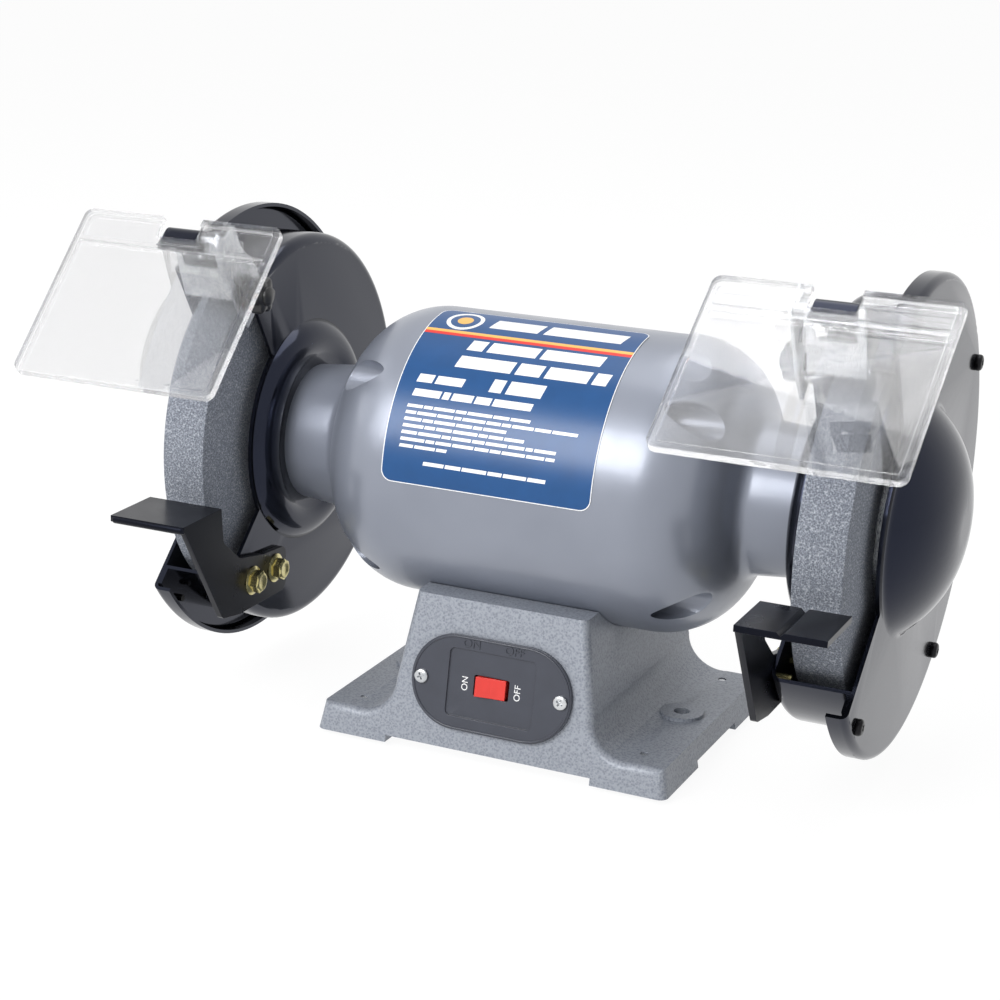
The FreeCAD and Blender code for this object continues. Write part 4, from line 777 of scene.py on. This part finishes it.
@dataclass
class Label:
    """Printed film round the upper front of the motor: a blue field with stripes and plain bars."""

    lift_mm: float = 0.05
    corner_mm: float = 6.0
    slant: float = 0.18
    word_gap_mm: float = 1.6

    def __post_init__(self) -> None:
        """Read the field's size and the motor's radius from the frame."""
        low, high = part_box("label_plate")
        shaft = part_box("stator_shell")
        self.axis_z = (shaft[0].z + shaft[1].z) / 2
        self.left, self.right = low.x, high.x
        reach = [(-v.co.y, v.co.z - self.axis_z) for v in NODES["label_plate"].data.vertices]
        self.radius = max(math.hypot(*p) for p in reach)
        angles = [math.atan2(p[1], p[0]) for p in reach]
        self.low, self.high = min(angles), max(angles)
        self.wide = self.right - self.left
        self.tall = (self.high - self.low) * self.radius

    def wrap(self, across: float, down: float, lift: float) -> Vector:
        """Place on the film, from its upper left corner, in metres."""
        angle = self.high - down / self.radius
        r = self.radius + lift
        return Vector((self.left + across, -r * math.cos(angle), self.axis_z + r * math.sin(angle)))

    def patch(self, bm: bmesh.types.BMesh, outline: Sequence[tuple[float, float]], lift_mm: float,
              slot: int) -> None:
        """Add a flat outline, laid on the film and cut into strips that follow its curve.

        Args:
            bm: Target.
            outline: Corners in metres across and down.
            lift_mm: Height over the field.
            slot: Material index.
        """
        flat = bmesh.new()
        flat.faces.new([flat.verts.new((x, y, 0)) for x, y in outline])
        rows = int(self.tall / (1.5 * MM))
        for i in range(rows + 1):
            cut = self.tall * i / rows
            bmesh.ops.bisect_plane(flat, geom=flat.verts[:] + flat.edges[:] + flat.faces[:],
                                   plane_co=(0, cut, 0), plane_no=(0, 1, 0))
        made = {}
        for vert in flat.verts:
            made[vert] = bm.verts.new(self.wrap(vert.co.x, vert.co.y, lift_mm * MM))
        for face in flat.faces:
            new = bm.faces.new([made[v] for v in face.verts])
            new.material_index = slot
            new.normal_update()
            outward = new.calc_center_median() - Vector((0, 0, self.axis_z))
            outward.x = 0
            if new.normal.dot(outward) < 0:
                new.normal_flip()
        flat.free()

    def rounded(self, inset: float, corner: float) -> list[tuple[float, float]]:
        """Rounded outline of the whole field, inset by some metres."""
        points = []
        for cx, cy, start in ((self.wide - inset - corner, inset + corner, -90),
                              (self.wide - inset - corner, self.tall - inset - corner, 0),
                              (inset + corner, self.tall - inset - corner, 90),
                              (inset + corner, inset + corner, 180)):
            for i in range(7):
                angle = math.radians(start + 15 * i)
                points.append((cx + corner * math.cos(angle), cy + corner * math.sin(angle)))
        return points

    def bar(self, bm: bmesh.types.BMesh, x: float, y: float, wide: float, tall: float, slot: int) -> None:
        """Add one slanted bar whose foot starts at x, y; all in metres."""
        lean = tall * self.slant
        self.patch(bm, [(x + lean, y), (x + wide + lean, y), (x + wide, y + tall), (x, y + tall)],
                   self.lift_mm * 2, slot)

    def row(self, bm: bmesh.types.BMesh, start_mm: float, down_mm: float, tall_mm: float,
            words_mm: Sequence[float], slot: int = 1) -> None:
        """Add a line of bars that stands for a line of print."""
        x = start_mm * MM
        for word in words_mm:
            self.bar(bm, x, down_mm * MM, word * MM, tall_mm * MM, slot)
            x += (word + max(0.8, tall_mm * 0.32)) * MM

    def build(self) -> None:
        """Make the film in place of the plain one."""
        bm = bmesh.new()
        self.patch(bm, self.rounded(0, self.corner_mm * MM), 0.0, 1)
        self.patch(bm, self.rounded(0.5 * MM, (self.corner_mm - 0.4) * MM), self.lift_mm, 0)
        stripe = 25.5 * MM
        for offset, slot in ((0, 2), (2.4, 3)):
            top = stripe + offset * MM
            self.patch(bm, [(0.5 * MM, top), (self.wide - 0.5 * MM, top),
                            (self.wide - 0.5 * MM, top + 2.4 * MM), (0.5 * MM, top + 2.4 * MM)],
                       self.lift_mm * 1.6, slot)
        self.row(bm, 34, 8.5, 10.5, (28, 44))
        self.roundel(bm, 18 * MM, 14 * MM, 10.5 * MM)
        self.row(bm, 30, 32.5, 8, (9, 28, 34))
        self.row(bm, 28, 45, 8, (32, 14, 24, 8))
        self.row(bm, 52, 57.5, 8, (7, 20))
        self.row(bm, 10, 60, 5, (9, 16))
        self.row(bm, 10, 69, 4.2, (16, 4, 12, 9, 22))
        for line, words in enumerate(((9, 5, 12, 6, 14, 9, 11), (6, 11, 9, 4, 13, 8, 5, 12, 9, 14),
                                      (10, 6, 12, 9, 5, 13), (12, 6, 9, 14, 5, 8, 11),
                                      (9, 13, 5, 11, 7, 12, 9, 4, 12), (14, 5, 9, 12, 8, 6, 13, 10, 5),
                                      (8, 12, 6))):
            self.row(bm, 9, 78 + 3.6 * line, 1.7, words)
        self.row(bm, 24, 107.5, 2.0, (12, 9, 14, 8, 13, 10))
        mesh = from_bmesh("label_film", bm)
        film = new_object("label_film", mesh, Stock.LABEL_BLUE, Stock.LABEL_WHITE, Stock.LABEL_GOLD,
                          Stock.LABEL_RED)
        settle(film, body_of("label_plate"), ["label_plate"])

    def roundel(self, bm: bmesh.types.BMesh, x: float, y: float, radius: float) -> None:
        """Add a plain ring and dot, white on the blue."""
        for size, slot, lift in ((1.0, 1, 2.0), (0.78, 0, 2.4), (0.42, 2, 2.8)):
            ring = [(x + radius * size * math.cos(math.tau * i / 40),
                     y + radius * size * math.sin(math.tau * i / 40)) for i in range(40)]
            self.patch(bm, ring, self.lift_mm * lift, slot)


@dataclass
class Motor:
    """Stator shell, end bells, label and everything inside them."""

    seam_mm: float = 0.5
    bell_round_mm: float = 1.4

    def build(self) -> None:
        """Dress the motor."""
        soften("stator_shell", Stock.MOTOR, self.seam_mm)
        for side in Side:
            soften(side.word + "_end_bell", Stock.MOTOR, self.bell_round_mm)
            screws(side.word + "_tie_screws", (side.value, 0, 0), Stock.ZINC)
            for ring in ("_bearing_outer", "_bearing_inner", "_bearing_balls"):
                dress(side.word + ring, Stock.GROUND)
        dress("stator_core", Stock.CORE)
        dress("rotor_core", Stock.CORE)
        dress("stator_windings", Stock.COPPER)
        dress("rotor_shaft", Stock.GROUND)
        Label().build()


@dataclass
class WheelEnd:
    """One grinding wheel with its flanges, nut and guard."""

    side: Side
    ease_mm: float = 0.8

    def node(self, name: str) -> str:
        """Full node name at this end."""
        return self.side.word + "_" + name

    def wheel(self) -> None:
        """Turn the abrasive wheel, with its corners eased as a dressed wheel has them."""
        node = self.node("grinding_wheel")
        low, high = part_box(node)
        middle = (low + high) / 2
        radius = (high.z - low.z) / 2
        wide = high.x - low.x
        bore = min(math.hypot(v.co.y - middle.y, v.co.z - middle.z) for v in NODES[node].data.vertices)
        ease = self.ease_mm * MM
        bm = bmesh.new()
        lathe(bm, [(bore, 0), (radius - ease, 0), (radius - ease * 0.3, ease * 0.3), (radius, ease),
                   (radius, wide - ease), (radius - ease * 0.3, wide - ease * 0.3),
                   (radius - ease, wide), (bore, wide), (bore, 0)], 192,
              facing(Vector((1, 0, 0)), Vector((low.x, middle.y, middle.z))))
        bmesh.ops.remove_doubles(bm, verts=bm.verts, dist=1e-7)
        wheel = new_object(node + "_finished", from_bmesh(node + "_turned", bm), Stock.ABRASIVE)
        settle(wheel, body_of(node), [node])

    def build(self) -> None:
        """Dress the wheel, flanges, guard and their screws."""
        self.wheel()
        soften(self.node("inner_flange"), Stock.ZINC, 0.6)
        soften(self.node("outer_flange"), Stock.ZINC, 0.6)
        soften(self.node("wheel_nut"), Stock.ZINC, 0.7)
        soften(self.node("guard_drum"), Stock.BLACK, 0.45)
        soften(self.node("guard_cover"), Stock.BLACK, 0.45)
        screws(self.node("cover_screws"), (self.side.value, 0, 0), Stock.OXIDE)
        screws(self.node("guard_screws"), (self.side.value, 0, 0), Stock.ZINC)


@dataclass
class ToolRest:
    """Bent steel rest and its two flanged hex bolts."""

    side: Side
    flange: float = 1.28
    lip_mm: float = 2.3

    def bolt_mesh(self, seat: Seat) -> bpy.types.Mesh:
        """Hex head on a dished flange, with a chamfered crown and a shallow dimple."""
        bm = bmesh.new()
        r, h = seat.radius, seat.height * 1.35
        wide = r * self.flange
        lathe(bm, [(0, -seat.reach), (r * 0.42, -seat.reach), (r * 0.42, 0), (wide, 0), (wide, h * 0.09),
                   (wide * 0.9, h * 0.16), (r * 0.85, h * 0.26), (0, h * 0.26)], 48)
        rings = []
        for size, height in ((0.9, 0.2), (0.9, 0.86), (0.8, 0.97), (0.66, 1.0), (0.45, 0.93), (0.0, 0.92)):
            if size == 0:
                rings.append([bm.verts.new((0, 0, h * height))])
                continue
            ring = []
            for i in range(48):
                angle = math.tau * i / 48
                sector = (angle % (math.pi / 3)) - math.pi / 6
                hexagon = math.cos(math.pi / 6) / math.cos(sector)
                blend = 1.0 if height < 0.9 else 0.35 if height < 0.98 else 0.0
                shape = hexagon * blend + math.cos(math.pi / 6) * (1 - blend) * 1.02
                ring.append(bm.verts.new((r * size * 1.1 * shape * math.cos(angle),
                                          r * size * 1.1 * shape * math.sin(angle), h * height)))
            rings.append(ring)
        for low, high in zip(rings, rings[1:]):
            for i in range(48):
                j = (i + 1) % 48
                if len(high) == 1:
                    bm.faces.new((low[i], low[j], high[0]))
                else:
                    bm.faces.new((low[i], low[j], high[j], high[i]))
        return from_bmesh("flange_bolt", bm, 28)

    def lip(self) -> None:
        """Rolled edge along the front of the table, with rounded ends."""
        node = self.side.word + "_tool_rest"
        low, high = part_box(node)
        radius = self.lip_mm * MM
        wide = high.x - low.x
        profile = [(0, 0)]
        for i in range(1, 7):
            angle = math.radians(15 * i)
            profile.append((radius * math.sin(angle), radius * (1 - math.cos(angle))))
        profile += [(r, wide - z) for r, z in reversed(profile)]
        bm = bmesh.new()
        start = Vector((low.x, low.y + radius * 0.7, high.z - radius * 1.02))
        lathe(bm, profile, 32, facing(Vector((1, 0, 0)), start))
        edge = new_object(self.side.word + "_rolled_edge", from_bmesh("rolled_edge", bm), Stock.REST)
        settle(edge, body_of(node))

    def build(self) -> None:
        """Make the rest and its bolts."""
        word = self.side.word
        if self.side is Side.LEFT:
            self.lip()
        soften(word + "_tool_rest", Stock.REST, 0.9)
        way = Vector((-self.side.value, 0, 0))
        spots = [s for s in seats(word + "_rest_bolts", way) if s.radius > 5 * MM]
        places = [(self.bolt_mesh(s), facing(way, s.middle, 12 + 20 * i)) for i, s in enumerate(spots)]
        obj = stamp(word + "_flange_bolts", places, Stock.YELLOW)
        settle(obj, body_of(word + "_rest_bolts"), [word + "_rest_bolts"])


@dataclass
class EyeShield:
    """Clear shield with its clamp, bracket, petal knob and spark arrestor."""

    side: Side
    petals: int = 6
    petal_depth: float = 0.12

    def knob(self) -> None:
        """Petal knob with a domed face and its stem."""
        node = self.side.word + "_shield_knob"
        low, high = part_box(node)
        axis = Vector(next(j for j in FRAME["joints"] if j["name"] == self.side.word + "_knob_turn")["pos_m"])
        radius = (high.z - low.z) / 2
        way = Vector((-self.side.value, 0, 0))
        grip = [v.co.dot(way) for v in NODES[node].data.vertices
                if math.hypot(v.co.y - axis.y, v.co.z - axis.z) > radius * 0.9]
        near, far = min(grip), max(grip)
        thick = far - near
        back = min(v.co.dot(way) for v in NODES[node].data.vertices)
        middle = Vector((0, axis.y, axis.z)) + way * near

        def wave(angle: float) -> float:
            return 1 - self.petal_depth + self.petal_depth * math.cos(self.petals * angle)
        bm = bmesh.new()
        lathe(bm, [(0, 0), (radius * 0.55, 0), (radius * 0.62, thick * 0.1), (radius * 0.9, thick * 0.16),
                   (radius * 0.98, thick * 0.24), (radius, thick * 0.4), (radius * 0.99, thick * 0.62),
                   (radius * 0.93, thick * 0.74), (radius * 0.8, thick * 0.8), (radius * 0.5, thick * 0.82)],
              72, wave=wave)
        lathe(bm, [(radius * 0.52, thick * 0.78), (radius * 0.5, thick * 0.9), (radius * 0.4, thick * 0.97),
                   (0, thick)], 40)
        lathe(bm, [(0, back - near), (3 * MM, back - near), (3 * MM, thick * 0.3), (0, thick * 0.3)], 32)
        obj = stamp(self.side.word + "_petal_knob", [(from_bmesh("petal_knob", bm), facing(way, middle))],
                    Stock.BLACK_PLASTIC)
        settle(obj, body_of(node), [node])

    def build(self) -> None:
        """Dress the shield and what carries it."""
        word = self.side.word
        soften(word + "_shield", Stock.CLEAR, 0.35)
        soften(word + "_shield_clamp", Stock.BLACK, 0.5)
        soften(word + "_shield_bracket", Stock.ZINC, 0.4)
        soften(word + "_spark_arrestor", Stock.ZINC, 0.4)
        slide = next(j for j in FRAME["joints"] if j["name"] == word + "_spark_slide")
        along = Vector(slide["axis"]).normalized()
        screws(word + "_spark_screws", Vector((1, 0, 0)).cross(along), Stock.ZINC)
        self.knob()


# ----------------------------------------------------------------------- studio
@dataclass
class Studio:
    """Pale floor, soft lamps and the camera."""

    eye: Vector = field(default_factory=lambda: Vector((0.4612, -1.1403, 0.4954)))
    azimuth_deg: float = 27.64
    elevation_deg: float = 21.71
    roll_deg: float = 0.71
    lens_mm: float = 82.7
    shift_x: float = 0.165
    shift_y: float = 0.198
    glow: float = 0.88

    def camera(self) -> None:
        """Create and aim the camera."""
        data = bpy.data.cameras.new("camera")
        data.sensor_width = 36.0
        data.lens = self.lens_mm
        data.shift_x = self.shift_x
        data.shift_y = self.shift_y
        data.clip_start = 0.01
        obj = bpy.data.objects.new("camera", data)
        bpy.context.scene.collection.objects.link(obj)
        az, el = math.radians(self.azimuth_deg), math.radians(self.elevation_deg)
        forward = Vector((-math.sin(az) * math.cos(el), math.cos(az) * math.cos(el), -math.sin(el)))
        right = Vector((math.cos(az), math.sin(az), 0))
        up = right.cross(forward)
        turn = math.radians(self.roll_deg)
        right2 = right * math.cos(turn) + up * math.sin(turn)
        up2 = up * math.cos(turn) - right * math.sin(turn)
        obj.matrix_world = Matrix.Translation(self.eye) @ Matrix((right2, up2, -forward)).transposed().to_4x4()
        bpy.context.scene.camera = obj

    def lamp(self, name: str, at: Sequence[float], size: float, watts: float,
             aim: Sequence[float] = (0, 0, 0.13)) -> None:
        """Add one soft square lamp that faces the object."""
        data = bpy.data.lights.new(name, "AREA")
        data.size = size
        data.energy = watts
        obj = bpy.data.objects.new(name, data)
        bpy.context.scene.collection.objects.link(obj)
        obj.location = at
        obj.rotation_euler = (Vector(aim) - Vector(at)).to_track_quat("-Z", "Y").to_euler()

    def world(self) -> None:
        """White surroundings for the camera and for reflections, softer for the light they give."""
        world = bpy.data.worlds.new("studio")
        world.use_nodes = True
        bpy.context.scene.world = world
        nodes, links = world.node_tree.nodes, world.node_tree.links
        nodes.clear()
        path = nodes.new("ShaderNodeLightPath")
        seen = nodes.new("ShaderNodeMath")
        seen.operation = "MAXIMUM"
        links.new(path.outputs["Is Camera Ray"], seen.inputs[0])
        links.new(path.outputs["Is Glossy Ray"], seen.inputs[1])
        all_seen = nodes.new("ShaderNodeMath")
        all_seen.operation = "MAXIMUM"
        links.new(seen.outputs[0], all_seen.inputs[0])
        links.new(path.outputs["Is Transmission Ray"], all_seen.inputs[1])
        strength = nodes.new("ShaderNodeMapRange")
        strength.inputs["To Min"].default_value = 0.38
        strength.inputs["To Max"].default_value = 1.0
        links.new(all_seen.outputs[0], strength.inputs["Value"])
        back = nodes.new("ShaderNodeBackground")
        back.inputs["Color"].default_value = linear("#ffffff")
        links.new(strength.outputs["Result"], back.inputs["Strength"])
        out = nodes.new("ShaderNodeOutputWorld")
        links.new(back.outputs["Background"], out.inputs["Surface"])

    def floor(self) -> None:
        """Plain pale floor under the feet."""
        low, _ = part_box("rubber_feet")
        bm = bmesh.new()
        half = 9.0
        bm.faces.new([bm.verts.new((x * half, y * half, low.z)) for x, y in ((-1, -1), (1, -1), (1, 1), (-1, 1))])
        mesh = bpy.data.meshes.new("floor")
        bm.to_mesh(mesh)
        bm.free()
        obj = bpy.data.objects.new("floor", mesh)
        bpy.context.scene.collection.objects.link(obj)
        tree = Tree("paper_sweep_white")
        speck = tree.ramp(tree.noise(400.0, 2.0), ((0.3, "#f7f7f7"), (0.7, "#fafafa")))
        tree.feed(tree.surface, Base_Color=speck, Roughness=0.9, Specular_IOR_Level=0.1)
        path = tree.add("LightPath")
        seen = tree.add("Math", {"operation": "MAXIMUM"}, input0=path.outputs["Is Camera Ray"],
                        input1=path.outputs["Is Glossy Ray"])
        every = tree.add("Math", {"operation": "MAXIMUM"}, input0=seen.outputs[0],
                         input1=path.outputs["Is Transmission Ray"])
        share = tree.add("Math", {"operation": "MULTIPLY"}, input0=every.outputs[0], input1=self.glow)
        white = tree.add("Emission", Color=linear("#ffffff"), Strength=1.05)
        blend = tree.add("MixShader", Fac=share.outputs[0])
        tree.links.new(tree.surface.outputs["BSDF"], blend.inputs[1])
        tree.links.new(white.outputs["Emission"], blend.inputs[2])
        tree.links.new(blend.outputs["Shader"], tree.nodes["Material Output"].inputs["Surface"])
        mesh.materials.append(tree.material)

    def build(self) -> None:
        """Set up the whole studio."""
        scene = bpy.context.scene
        scene.view_settings.view_transform = "Standard"
        self.world()
        self.floor()
        self.lamp("key", (-0.55, -1.7, 1.3), 1.1, 34.0)
        self.lamp("side", (-1.7, -0.5, 1.2), 1.2, 6.0)
        self.lamp("top", (0.1, 0.5, 1.9), 1.4, 14.0)
        self.camera()


def main() -> None:
    """Build every sub-assembly round the frame and set the studio."""
    logging.basicConfig(level=logging.INFO, format="%(name)s %(message)s")
    Pedestal().build()
    Switch().build()
    Motor().build()
    for side in Side:
        WheelEnd(side).build()
        ToolRest(side).build()
        EyeShield(side).build()
    Studio().build()
    LOG.info("finishes used: %s", ", ".join(sorted(m.name for m in MADE.values())))


if __name__ == "__main__":
    main()
